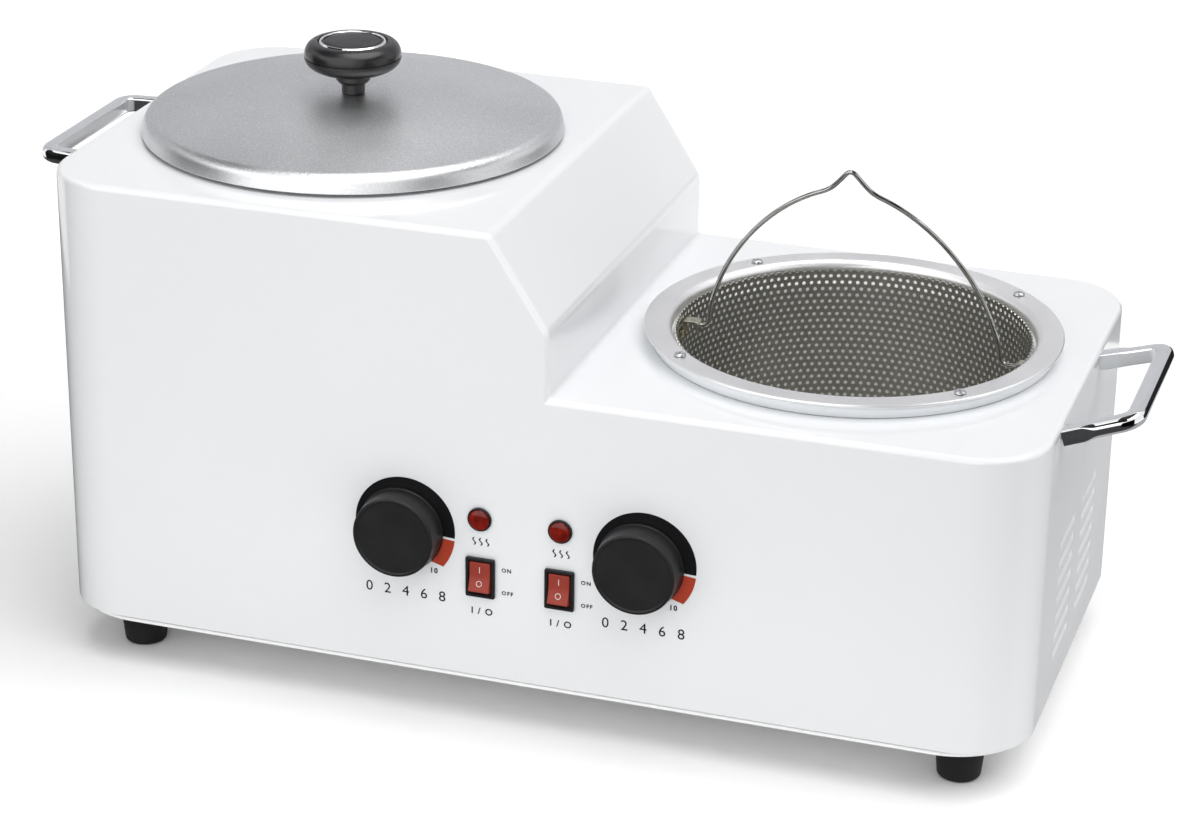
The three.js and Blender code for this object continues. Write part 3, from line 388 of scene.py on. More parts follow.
def modified(piece: bpy.types.Object, kind: str, **settings: object) -> None:
    """Runs one modifier, and keeps what it gives as the piece's own mesh.

    Args:
        piece: The object to change.
        kind: Blender's name for the modifier.
        settings: The modifier's own settings.
    """
    modifier = piece.modifiers.new(kind.lower(), kind)
    for name, value in settings.items():
        setattr(modifier, name, value)
    bpy.context.view_layer.update()
    depsgraph = bpy.context.evaluated_depsgraph_get()
    made = bpy.data.meshes.new_from_object(piece.evaluated_get(depsgraph))
    old = piece.data
    piece.modifiers.clear()
    piece.data = made
    bpy.data.meshes.remove(old)
    made.name = piece.name


def bevelled(piece: bpy.types.Object, width: float, segments: int, angle: float) -> None:
    """Rounds a piece's edges that turn by more than an angle, by a width in millimetres."""
    limit = math.radians(angle)
    modified(piece, "BEVEL", width=width * MM, segments=segments, limit_method="ANGLE", angle_limit=limit)


def thickened(piece: bpy.types.Object, thickness: float) -> None:
    """Gives an open sheet its thickness, inwards from its faces."""
    modified(piece, "SOLIDIFY", thickness=thickness * MM, offset=-1, use_even_offset=True)


def cut_from(piece: bpy.types.Object, cuts: Sequence[Surface]) -> None:
    """Cuts closed surfaces out of a piece.

    Args:
        piece: The object to cut.
        cuts: What is taken out of it.
    """
    tool = mesh_object("cutter", together(*cuts))
    modified(piece, "BOOLEAN", operation="DIFFERENCE", solver="EXACT", use_self=True, object=tool)
    bpy.data.meshes.remove(tool.data)


def flatten_broad_faces(piece: bpy.types.Object) -> None:
    """Weights the normals by area, so that broad faces stay flat beside small folds."""
    smooth(piece.data, SHARP)
    modified(piece, "WEIGHTED_NORMAL", keep_sharp=True, weight=80)


def dress(
    piece: bpy.types.Object,
    finish: "Finish",
    body: str = "heater",
    nodes: Sequence[str] = (),
) -> bpy.types.Object:
    """Gives a piece its finish and its body, and hides the nodes that it stands for.

    Args:
        piece: The finished object.
        finish: What it is made of.
        body: The body that it moves with.
        nodes: The model's nodes that it replaces.

    Returns:
        The same object.
    """
    piece.data.materials.clear()
    piece.data.materials.append(finish.material())
    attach(piece, body)
    if nodes:
        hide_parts(*nodes)
    log.info("%s: %d faces on %s", piece.name, len(piece.data.polygons), body)
    return piece


def add_piece(
    name: str,
    surface: Surface,
    finish: "Finish",
    body: str = "heater",
    nodes: Sequence[str] = (),
    sharp: float = SHARP,
) -> bpy.types.Object:
    """Makes and dresses a piece that needs no modifiers."""
    return dress(mesh_object(name, surface, sharp), finish, body, nodes)


# Finishes


class Slot(Enum):
    """The record's material slots."""

    ENAMEL = "enamel"
    PLATE = "plate"
    RUBBER = "rubber"
    STEEL = "steel"
    CHROME = "chrome"
    ALUMINIUM = "aluminium"
    SPUN = "spun_aluminium"
    PERFORATED = "perforated_steel"
    BLACK = "black_plastic"
    GLOSS_BLACK = "gloss_black"
    RED = "red_plastic"
    LAMP = "lamp_red"
    JACKET = "heater_jacket"
    WOOL = "wool"
    COPPER = "copper"
    CERAMIC = "ceramic"


Colour = tuple[float, float, float]


@dataclass
class Tree:
    """A shader node tree that is built node by node."""

    made: bpy.types.NodeTree

    def add(self, kind: str, inputs: dict[str | int, object], **settings: object) -> bpy.types.Node:
        """Adds a node.

        Args:
            kind: Blender's name for the node.
            inputs: What each input gets, as feed takes it.
            settings: The node's own settings, which come before its inputs.

        Returns:
            The new node.
        """
        node = self.made.nodes.new(kind)
        for name, value in settings.items():
            setattr(node, name, value)
        self.feed(node, inputs)
        return node

    def feed(self, node: bpy.types.Node, inputs: dict[str | int, object]) -> None:
        """Sets a node's inputs.

        Args:
            node: The node.
            inputs: By name or number, a value, or another node's socket to link from.
        """
        for label, value in inputs.items():
            if isinstance(value, bpy.types.NodeSocket):
                self.made.links.new(value, node.inputs[label])
            else:
                node.inputs[label].default_value = value


def new_group(
    name: str,
    inputs: dict[str, tuple[str, object]],
    outputs: dict[str, str],
) -> tuple[Tree, bpy.types.Node, bpy.types.Node]:
    """Makes an empty shader node group with named sockets.

    Args:
        name: The group's name.
        inputs: Socket kind and default value by name.
        outputs: Socket kind by name.

    Returns:
        The group, its input node and its output node.
    """
    group = bpy.data.node_groups.new(name, "ShaderNodeTree")
    for label, (kind, value) in inputs.items():
        socket = group.interface.new_socket(label, in_out="INPUT", socket_type=f"NodeSocket{kind}")
        if value is not None:
            socket.default_value = value
    for label, kind in outputs.items():
        group.interface.new_socket(label, in_out="OUTPUT", socket_type=f"NodeSocket{kind}")
    return Tree(group), group.nodes.new("NodeGroupInput"), group.nodes.new("NodeGroupOutput")


def new_material(name: str, values: dict[str, object]) -> tuple[bpy.types.Material, Tree, bpy.types.Node]:
    """Makes a material with constants on its shader's own sockets.

    Args:
        name: The material's name.
        values: The constants by socket.

    Returns:
        The material, its tree and its shader.
    """
    material = bpy.data.materials.new(name)
    material.use_nodes = True
    tree = Tree(material.node_tree)
    shader = material.node_tree.nodes["Principled BSDF"]
    tree.feed(shader, values)
    return material, tree, shader


def mottle_group() -> bpy.types.NodeTree:
    """Slow changes of shade and roughness, as handling and rolling leave them.

    A noise of a few octaves is stretched to run from -1 to 1. The colour is multiplied by 1 + shade * noise,
    and the roughness has spread * noise added.

    Returns:
        The group, made on first use.
    """
    made = bpy.data.node_groups.get("mottle")
    if made:
        return made
    inputs = {
        "Vector": ("Vector", None),
        "Scale": ("Float", 20.0),
        "Colour": ("Color", (0.8, 0.8, 0.8, 1.0)),
        "Shade": ("Float", 0.05),
        "Roughness": ("Float", 0.4),
        "Spread": ("Float", 0.05),
    }
    tree, source, sink = new_group("mottle", inputs, {"Colour": "Color", "Roughness": "Float"})
    given = source.outputs
    noise = tree.add(
        "ShaderNodeTexNoise",
        {"Detail": 4.0, "Vector": given["Vector"], "Scale": given["Scale"]},
    )
    span = {"From Min": 0.3, "From Max": 0.7, "To Min": -1.0, "To Max": 1.0}
    swing = tree.add("ShaderNodeMapRange", {**span, "Value": noise.outputs["Fac"]}).outputs["Result"]
    gain = tree.add("ShaderNodeMath", {0: swing, 1: given["Shade"], 2: 1.0}, operation="MULTIPLY_ADD")
    tinted = tree.add(
        "ShaderNodeVectorMath",
        {0: given["Colour"], "Scale": gain.outputs[0]},
        operation="SCALE",
    )
    rough = tree.add(
        "ShaderNodeMath",
        {0: swing, 1: given["Spread"], 2: given["Roughness"]},
        operation="MULTIPLY_ADD",
    )
    tree.feed(sink, {"Colour": tinted.outputs[0], "Roughness": rough.outputs[0]})
    return tree.made


def grain_group() -> bpy.types.NodeTree:
    """Fine grain: a sharp noise on the vector multiplied by a stretch, as a height and as a speckle mask.

    Returns:
        The group, made on first use.
    """
    made = bpy.data.node_groups.get("grain")
    if made:
        return made
    inputs = {
        "Vector": ("Vector", None),
        "Stretch": ("Vector", (1.0, 1.0, 1.0)),
        "Scale": ("Float", 800.0),
    }
    tree, source, sink = new_group("grain", inputs, {"Height": "Float", "Speckle": "Float"})
    given = source.outputs
    stretched = tree.add(
        "ShaderNodeVectorMath",
        {0: given["Vector"], 1: given["Stretch"]},
        operation="MULTIPLY",
    )
    noise = tree.add(
        "ShaderNodeTexNoise",
        {"Detail": 2.0, "Vector": stretched.outputs[0], "Scale": given["Scale"]},
    )
    height = noise.outputs["Fac"]
    speckle = tree.add("ShaderNodeMapRange", {"From Min": 0.45, "From Max": 0.75, "Value": height})
    tree.feed(sink, {"Height": height, "Speckle": speckle.outputs["Result"]})
    return tree.made


@dataclass(frozen=True)
class Finish:
    """A surface finish: a base colour that varies a little, and a grain that lifts the surface.

    Scales are in waves a metre, and the grain's depth is in millimetres.
    """

    name: str
    slot: Slot
    colour: Colour
    roughness: float
    metallic: float = 0.0
    coat: float = 0.0
    coat_roughness: float = 0.05
    specular: float = 0.5
    shade: float = 0.03
    spread: float = 0.03
    mottle_scale: float = 25.0
    grain_scale: float = 900.0
    grain_depth: float = 0.01
    grain_strength: float = 0.3
    stretch: Colour = (1.0, 1.0, 1.0)
    speckle: float = 0.0
    speckle_colour: Colour = (1.0, 1.0, 1.0)

    def material(self) -> bpy.types.Material:
        """Mottle and grain on the shader, with the grain's speckle over the colour where there is any.

        Returns:
            The material, made on first use.
        """
        made = bpy.data.materials.get(self.name)
        if made:
            return made
        material, tree, shader = new_material(self.name, {
            "Metallic": self.metallic,
            "Coat Weight": self.coat,
            "Coat Roughness": self.coat_roughness,
            "Specular IOR Level": self.specular,
        })
        where = tree.add("ShaderNodeTexCoord", {}).outputs["Object"]
        mottle = tree.add("ShaderNodeGroup", {
            "Scale": self.mottle_scale,
            "Colour": (*self.colour, 1.0),
            "Shade": self.shade,
            "Roughness": self.roughness,
            "Spread": self.spread,
            "Vector": where,
        }, node_tree=mottle_group()).outputs
        grain = tree.add("ShaderNodeGroup", {
            "Scale": self.grain_scale,
            "Stretch": self.stretch,
            "Vector": where,
        }, node_tree=grain_group()).outputs
        bump = tree.add("ShaderNodeBump", {
            "Strength": self.grain_strength,
            "Distance": self.grain_depth * MM,
            "Height": grain["Height"],
        })
        colour = mottle["Colour"]
        if self.speckle > 0:
            amount = tree.add("ShaderNodeMath", {0: grain["Speckle"], 1: self.speckle}, operation="MULTIPLY")
            both = {"B": (*self.speckle_colour, 1.0), "Factor": amount.outputs[0], "A": colour}
            colour = tree.add("ShaderNodeMix", both, data_type="RGBA").outputs["Result"]
        tree.feed(shader, {
            "Base Color": colour,
            "Roughness": mottle["Roughness"],
            "Normal": bump.outputs["Normal"],
        })
        return material


ENAMEL = Finish("gloss_enamel", Slot.ENAMEL, (0.82, 0.832, 0.847), 0.2, coat=0.5, shade=0.006,
                mottle_scale=9.0, grain_scale=260.0, grain_depth=0.012, grain_strength=0.12)
PLATE = Finish("satin_plate", Slot.PLATE, (0.93, 0.93, 0.93), 0.35, shade=0.01, grain_scale=500.0)
RUBBER = Finish("moulded_rubber", Slot.RUBBER, (0.008, 0.008, 0.009), 0.6, specular=0.3, shade=0.15,
                spread=0.08, grain_scale=1500.0, grain_depth=0.03, grain_strength=0.4)
STEEL = Finish("zinc_steel", Slot.STEEL, (0.52, 0.53, 0.54), 0.26, metallic=1.0, shade=0.08, spread=0.08,
               grain_scale=2000.0)
CHROME = Finish("polished_chrome", Slot.CHROME, (0.82, 0.83, 0.84), 0.06, metallic=1.0, shade=0.02,
                mottle_scale=60.0, grain_scale=300.0, grain_depth=0.004, grain_strength=0.1)
WIRE = Finish("drawn_wire", Slot.CHROME, (0.40, 0.40, 0.39), 0.14, metallic=1.0, shade=0.12, spread=0.08,
              mottle_scale=180.0, grain_scale=1500.0)
FLANGE = Finish("rolled_aluminium", Slot.ALUMINIUM, (0.90, 0.92, 0.94), 0.4, metallic=0.1, shade=0.02,
                grain_scale=1800.0, grain_strength=0.2, stretch=(1.0, 1.0, 0.1))
RING = Finish("grained_aluminium", Slot.ALUMINIUM, (0.84, 0.84, 0.84), 0.38, metallic=1.0,
              grain_scale=2600.0, grain_depth=0.05, grain_strength=0.5, speckle=0.3,
              speckle_colour=(0.95, 0.95, 0.95))
LID = Finish("blasted_aluminium", Slot.SPUN, (0.60, 0.608, 0.614), 0.38, metallic=1.0, shade=0.06,
             spread=0.05, mottle_scale=11.0, grain_scale=1000.0, grain_depth=0.22, grain_strength=0.8,
             speckle=0.55, speckle_colour=(0.92, 0.92, 0.93))
# The skirt is the same blasted sheet as the dome: its finer grain is its own, and its lighter colour is a
# painted sheen.
SKIRT_PAINTED_SHEEN = replace(LID, name="blasted_skirt_painted_sheen", colour=(0.66, 0.67, 0.68), grain_depth=0.10,
                grain_strength=0.5, speckle=0.4)
PERFORATED = Finish("perforated_sheet", Slot.PERFORATED, (0.52, 0.51, 0.475), 0.30, metallic=1.0,
                    shade=0.0, spread=0.0, mottle_scale=30.0, grain_scale=1600.0)
# The ears' colour is darker than the basket's sheet, a painted shade.
EAR = Finish("pressed_ear", Slot.PERFORATED, (0.44, 0.42, 0.35), 0.36, metallic=1.0, shade=0.35,
             spread=0.1, mottle_scale=300.0, grain_scale=1600.0)
SOLDER = Finish("brassy_solder", Slot.PERFORATED, (0.42, 0.36, 0.20), 0.3, metallic=1.0, shade=0.3,
                spread=0.15, mottle_scale=700.0, grain_scale=1200.0, grain_depth=0.15, grain_strength=0.7)
BLACK = Finish("satin_black", Slot.BLACK, (0.016, 0.016, 0.017), 0.36, specular=0.26, shade=0.12,
               spread=0.06, mottle_scale=60.0, grain_scale=2400.0, grain_depth=0.02, grain_strength=0.35,
               speckle=0.04, speckle_colour=(0.08, 0.08, 0.08))
STEM_BLACK = Finish("satin_stem", Slot.BLACK, (0.022, 0.022, 0.023), 0.28, shade=0.1, spread=0.05,
                    mottle_scale=70.0, grain_scale=1800.0, grain_depth=0.02)
GLOSS_BLACK = replace(STEM_BLACK, name="satin_gloss_knob", slot=Slot.GLOSS_BLACK,
                      colour=(0.010, 0.010, 0.011), roughness=0.27, spread=0.04)
RED = Finish("red_key", Slot.RED, (0.30, 0.040, 0.025), 0.3, specular=0.3, shade=0.06, grain_scale=1500.0)
LENS = Finish("red_lens", Slot.LAMP, (0.17, 0.008, 0.004), 0.12, specular=0.35, shade=0.4,
              mottle_scale=260.0, grain_scale=700.0, grain_depth=0.05)
BLACK_INK = Finish("black_print", Slot.ENAMEL, (0.005, 0.005, 0.006), 0.4, specular=0.25, shade=0.1)
RED_INK = Finish("red_print", Slot.ENAMEL, (0.43, 0.042, 0.014), 0.4, specular=0.25, shade=0.05)
WHITE_INK = Finish("white_print", Slot.RED, (0.72, 0.66, 0.62), 0.4, shade=0.04)
JACKET = Finish("heater_foil", Slot.JACKET, (0.40, 0.35, 0.26), 0.45, metallic=0.8, shade=0.25, spread=0.1)
WOOL = Finish("mineral_wool", Slot.WOOL, (0.62, 0.56, 0.40), 0.95, shade=0.2, mottle_scale=60.0,
              grain_scale=350.0, grain_depth=1.2, grain_strength=0.9, stretch=(1.0, 1.0, 4.0),
              speckle=0.3, speckle_colour=(0.80, 0.76, 0.62))
COPPER = Finish("bright_copper", Slot.COPPER, (0.72, 0.36, 0.20), 0.28, metallic=1.0, shade=0.12,
                spread=0.08)
CERAMIC = Finish("fired_ceramic", Slot.CERAMIC, (0.72, 0.69, 0.62), 0.55, shade=0.06, grain_scale=1200.0,
                 grain_depth=0.04, speckle=0.15, speckle_colour=(0.45, 0.42, 0.36))


# Pieces


class Side(Enum):
    """The two halves of the heater."""

    LEFT = "left"
    RIGHT = "right"

    @property
    def out(self) -> float:
        """The direction along x that leads out of this half's end."""
        return -1.0 if self is Side.LEFT else 1.0


@dataclass
class Screw:
    """A pan-head screw with a cross recess."""

    radius: float = 2.9
    height: float = 1.4
    recess: float = 0.8
    arm: float = 0.45
    arm_edge: float = 0.15
    arm_reach: float = 0.62
    arm_end: float = 0.08

    def head(self) -> Surface:
        """The head, with its flat side at z = 0.

        On a polar grid the height is that of a flattened dome, height * (1 - r^4)^(1/2), less the recess
        where the point lies within an arm's half width of either axis and inside the arms' reach. The reach
        is a share of the radius, and the recess eases in over the arms' edges and ends.

        Returns:
            The head, closed below.
        """
        share = np.linspace(0, 1, 22)[:, None]
        angle = full_turn(48)
        top = polar(self.radius * share, self.height * np.sqrt(1 - share**4), angle)
        across = np.clip((self.arm - np.abs(top[..., :2]).min(-1)) / self.arm_edge, 0, 1)
        along = np.clip((self.arm_reach - share) / self.arm_end, 0, 1)
        top[..., 2] -= self.recess * (across * along)
        return grid_surface(np.concatenate((top, np.zeros((1, len(angle), 3)))), False, True)

    def bolt(self, length: float) -> Surface:
        """The head on a shank that reaches down from z = 0."""
        shank = lathe(((0, 0), (self.radius / 2, 0), (self.radius / 2, -length), (0, -length)), 20)
        return together(self.head(), shank)


@dataclass
class Housing:
    """The folded and enamelled shell, with its pressed louvres."""

    length: float = HOUSING_HIGH[0] - HOUSING_LOW[0]
    depth: float = HOUSING_HIGH[1] - HOUSING_LOW[1]
    bottom: float = HOUSING_LOW[2]
    tall_top: float = HOUSING_HIGH[2]
    low_top: float = 179.5
    slant_top: float = 236.2
    slant_foot: float = 212.2
    step_wall: float = 265.8
    corner: float = 35.7
    fold: float = 3.0
    sheet: float = 1.2
    pot_hole: float = 94.0
    shaft_hole: float = 5.0
    lamp_hole: float = 5.1
    switch_hole: tuple[float, float] = (6.8, 9.9)
    inlet_hole: tuple[float, float] = (14.3, 10.3)
    louvre_length: float = 37.0
    louvre_height: float = 5.2
    louvre_depth: float = 1.5
    louvre_sheet: float = 0.8
    louvre_pitch: float = 9.8
    louvre_rows: int = 7
    louvre_top: float = 110.0
    louvre_middles: tuple[float, float] = (92.0, 149.0)
    cutter_reach: float = 4.0
    pot_cutter_reach: float = 6.0
    step_cutter_reach: float = 9.0

    def end(self, side: Side) -> float:
        """Where an end of the housing lies along x."""
        return 0.0 if side is Side.LEFT else self.length

    def step_cutter(self) -> Surface:
        """What is cut off above the low top and the slanted face, a prism drawn out along y.

        Returns:
            The prism, which reaches past the housing all round and follows the slant 1.2 times its length.
        """
        run, drop = self.step_wall - self.slant_top, self.tall_top - self.slant_foot
        past, over = self.step_cutter_reach, 1.2
        side = np.array((
            (self.step_wall, self.low_top),
            (self.length + past, self.low_top),
            (self.length + past, self.slant_foot + over * drop),
            (self.step_wall - over * run, self.slant_foot + over * drop),
            (self.step_wall, self.slant_foot),
        ))
        front = np.column_stack((side[:, 0], np.full(len(side), -past), side[:, 1]))
        return loft((front, front + (0, self.depth + 2 * past, 0)))

    def stepped_prism(self) -> bpy.types.Object:
        """A rounded prism with the step cut away, open below, then folded, thickened and pierced.

        Returns:
            The shell.
        """
        plan = rectangle(self.length, self.depth, self.corner, 28) + (self.length / 2, self.depth / 2)
        shell = mesh_object("housing_shell", loft((level(plan, self.bottom), level(plan, self.tall_top))))
        cut_from(shell, [self.step_cutter()])
        with editing(shell.data) as shape:
            below = [f for f in shape.faces if f.calc_center_median().z < (self.bottom + 1) * MM]
            bmesh.ops.delete(shape, geom=below, context="FACES")
            bmesh.ops.remove_doubles(shape, verts=shape.verts, dist=WELD)
        bevelled(shell, self.fold, 5, 25.0)
        thickened(shell, self.sheet)
        cut_from(shell, self.openings())
        flatten_broad_faces(shell)
        return shell

    def openings(self) -> list[Surface]:
        """What is cut out of the sheet: pot holes, control holes, the inlet's hole and the louvre windows.

        Returns:
            The cutters, each of which reaches past the sheet on both sides.
        """
        reach = self.cutter_reach
        cuts = [
            plug(self.pot_hole, self.pot_cutter_reach, 128).moved(POT_X[side], POT_Y, top)
            for side, top in ((Side.LEFT, self.tall_top), (Side.RIGHT, self.low_top))
        ]
        for radius, places, z in ((self.shaft_hole, KNOB_X, KNOB_Z), (self.lamp_hole, LAMP_X, LAMP_Z)):
            cuts += [plug(radius, reach).facing_front().moved(x, 0, z) for x in places.values()]
        wide, high = self.switch_hole
        cuts += [block_about((x, 0, SWITCH_Z), (wide, reach, high)) for x in SWITCH_X.values()]
        wide, high = self.inlet_hole
        cuts.append(block_about((self.length / 2, self.depth, INLET_Z), (wide, reach, high)))
        half = self.louvre_length / 2
        for y, z in self.louvre_places():
            for x in (0.0, self.length):
                cuts.append(block((x - reach, y - half, z), (x + reach, y + half, z + self.louvre_height)))
        return cuts

    def louvre_places(self) -> list[tuple[float, float]]:
        """Where the louvres of an end lie.

        Returns:
            The middle along y and the lower edge of each, column by column from the top.
        """
        return [
            (y, self.louvre_top - row * self.louvre_pitch - self.louvre_height)
            for y in self.louvre_middles
            for row in range(self.louvre_rows)
        ]

    def louvre(self) -> Surface:
        """One blade as a sheet over (s, t).

        It lies flush along its lower edge and ends, and dips inwards by depth * smooth(t) * rise(s), where
        smooth is 3 t^2 - 2 t^3 and rise is a quarter circle over the first and last seventh of its length.

        Returns:
            The blade, with its lower edge at the origin and its dip along +X.
        """
        s = np.linspace(0, 1, 57)[:, None]
        t = np.linspace(0, 1, 11)[None, :]
        near = np.clip(7 * np.minimum(s, 1 - s), 0, 1)
        rise = np.sqrt(1 - (1 - near) ** 2)
        dip = self.louvre_depth * (3 * t**2 - 2 * t**3) * rise
        along, up = (s - 0.5) * self.louvre_length + 0 * t, t * self.louvre_height + 0 * s
        return grid_surface(np.stack((dip, along, up), -1))

    def blades(self, side: Side) -> bpy.types.Object:
        """All louvre blades of one end, with their thickness.

        Args:
            side: Which end.

        Returns:
            The blades as one object.
        """
        blade = self.louvre().mirrored(-side.out)
        placed = [blade.moved(self.end(side), y, z) for y, z in self.louvre_places()]
        piece = mesh_object(f"louvre_blades_{side.value}", together(*placed))
        if sum(f.normal.x * f.area for f in piece.data.polygons) * side.out < 0:
            piece.data.flip_normals()
        thickened(piece, self.louvre_sheet)
        smooth(piece.data, 50.0)
        return piece

    def build(self) -> None:
        """Makes the shell and the blades."""
        dress(self.stepped_prism(), ENAMEL, nodes=["housing"])
        for side in Side:
            dress(self.blades(side), ENAMEL)


POT_X = {Side.LEFT: 118.0, Side.RIGHT: 382.0}
POT_Y = 124.5
KNOB_X = {Side.LEFT: 191.0, Side.RIGHT: 313.0}
KNOB_Z = 101.5
LAMP_X = {Side.LEFT: 231.5, Side.RIGHT: 272.5}
LAMP_Z = 112.6
SWITCH_X = {Side.LEFT: 231.9, Side.RIGHT: 272.4}
SWITCH_Z = 81.7
INLET_Z = 62.0


@dataclass
class Base:
    """The base plate with its upturned lip, and the four feet."""

    inset: float = 0.45
    lip_inset: float = 1.6
    lip_sheet: float = 1.3
    bottom: float = 25.35
    plate: float = 1.85
    lip_top: float = 36.7
    corner: float = 42.0
    foot_height: float = 25.2
    foot_top: float = 13.1
    foot_bottom: float = 10.6
    bore: float = 2.5
    counterbore: float = 5.0
    counterbore_depth: float = 12.0
    screw_seat: float = 11.7
    foot_x: dict[str, float] = field(default_factory=lambda: {"left": 34.4, "right": 465.6})
    foot_y: dict[str, float] = field(default_factory=lambda: {"front": 32.5, "rear": 216.5})

    def ring(self, inset: float, height: float) -> np.ndarray:
        """The housing's plan drawn in, with wider corners.

        Args:
            inset: How far it is drawn in.
            height: Its level.

        Returns:
            The outline, of shape (n, 3).
        """
        housing = Housing()
        plan = rectangle(housing.length - 2 * inset, housing.depth - 2 * inset, self.corner - inset, 20)
        return level(plan + (housing.length / 2, housing.depth / 2), height)

    def plate_surface(self) -> Surface:
        """Rings of the plan, from under the plate round its edge, up the lip and down inside it.

        Returns:
            The plate with its lip.
        """
        low, top = self.bottom, self.bottom + self.plate
        inner = self.lip_inset + self.lip_sheet
        steps = (
            (self.inset + 0.5, low),
            (self.inset + 0.12, low + 0.15),
            (self.inset, low + 0.5),
            (self.inset, top - 0.4),
            (self.inset + 0.3, top),
            (self.lip_inset, top),
            (self.lip_inset, self.lip_top - 0.3),
            (self.lip_inset + 0.3, self.lip_top),
            (inner - 0.3, self.lip_top),
            (inner, self.lip_top - 0.3),
            (inner, top),
        )
        return loft([self.ring(inset, height) for inset, height in steps])

    def foot(self) -> Surface:
        """A tapered foot with a rounded lower edge and a stepped bore.

        Returns:
            The foot, standing on z = 0.
        """
        profile = rounded((
            (self.counterbore, 0.0, 0.5),
            (self.foot_bottom, 0.0, 2.2),
            (self.foot_top, self.foot_height, 0.6),
            (self.bore, self.foot_height, 0),
            (self.bore, self.counterbore_depth, 0),
            (self.counterbore, self.counterbore_depth, 0),
        ), 7)
        return lathe(profile, 64)

    def build(self) -> None:
        """Makes the plate, the feet and their screws."""
        add_piece("base_plate_sheet", self.plate_surface(), PLATE, nodes=["base_plate"])
        bolt = Screw(4.0, 2.6, 1.2, 0.6).bolt(22.0).upside_down()
        for row, y in self.foot_y.items():
            for side, x in self.foot_x.items():
                name = f"{row}_{side}"
                add_piece(f"rubber_foot_{name}", self.foot().moved(x, y), RUBBER, nodes=[f"foot_{name}"])
                placed = bolt.moved(x, y, self.screw_seat)
                add_piece(f"foot_bolt_{name}", placed, STEEL, nodes=[f"foot_screw_{name}"])


@dataclass
class Pot:
    """A pot with its turned-down flange, its clamping ring and the ring's screws."""

    side: Side
    top: float
    inner: float = 91.5
    wall: float = 1.5
    floor: float = 72.0
    corner: float = 12.0
    flange: float = 101.8
    skirt_foot: float = 99.5
    rise: float = 6.2
    ring_outer: float = 103.3
    ring_inner: float = 89.7
    ring_sheet: float = 1.6
    ring_lip: float = 5.0
    screw_circle: float = 97.0

    def pot_surface(self) -> Surface:
        """The pot's wall and floor, a flange and its skirt, as one turned profile.

        Returns:
            The pot about its axis.
        """
        outer, flange_top = self.inner + self.wall, self.top + self.rise
        profile = rounded((
            (0.0, self.floor, 0),
            (outer, self.floor, self.corner),
            (outer, flange_top - self.wall, 0.6),
            (self.flange - self.wall, flange_top - self.wall, 0.2),
            (self.skirt_foot - 0.6, self.top + CLEARANCE, 0),
            (self.skirt_foot, self.top + CLEARANCE, 0.2),
            (self.flange, flange_top, 1.2),
            (self.inner, flange_top, 1.0),
            (self.inner, self.floor + self.wall, self.corner - self.wall),
            (0.0, self.floor + self.wall, 0),
        ), 8, closed=False)
        return lathe(profile, 160)

    def ring_surface(self) -> Surface:
        """A flat ring with a rounded outer edge and an inner edge rolled down into a lip.

        Returns:
            The ring about the pot's axis.
        """
        upper = self.top + self.rise + CLEARANCE + self.ring_sheet
        lower = upper - self.ring_sheet
        outside = self.ring_inner + self.ring_sheet - CLEARANCE
        profile = rounded((
            (outside, lower - self.ring_lip, 0.3),
            (outside, lower, 2.2),
            (self.ring_outer, lower, 0.5),
            (self.ring_outer, upper, 0.9),
            (self.ring_inner, upper, 3.8),
            (self.ring_inner, lower - self.ring_lip, 0.3),
        ), 8)
        return lathe(profile, 192)

    def build(self) -> None:
        """Makes the pot, the ring and four screws."""
        side, x = self.side.value, POT_X[self.side]
        add_piece(f"{side}_pot", self.pot_surface().moved(x, POT_Y), FLANGE, nodes=[f"pot_{side}"])
        add_piece(f"{side}_clamp_ring", self.ring_surface().moved(x, POT_Y), RING, nodes=[f"ring_{side}"])
        seat = self.top + self.rise + 2 * CLEARANCE + self.ring_sheet
        for i in range(4):
            angle = math.pi / 4 + i * math.pi / 2
            across, along = self.screw_circle * math.cos(angle), self.screw_circle * math.sin(angle)
            bolt = Screw().bolt(13.0).spun(0.6 + 1.9 * i).moved(x + across, POT_Y + along, seat)
            add_piece(f"{side}_ring_bolt_{i + 1}", bolt, STEEL, nodes=[f"ring_screw_{side}_{i + 1}"])


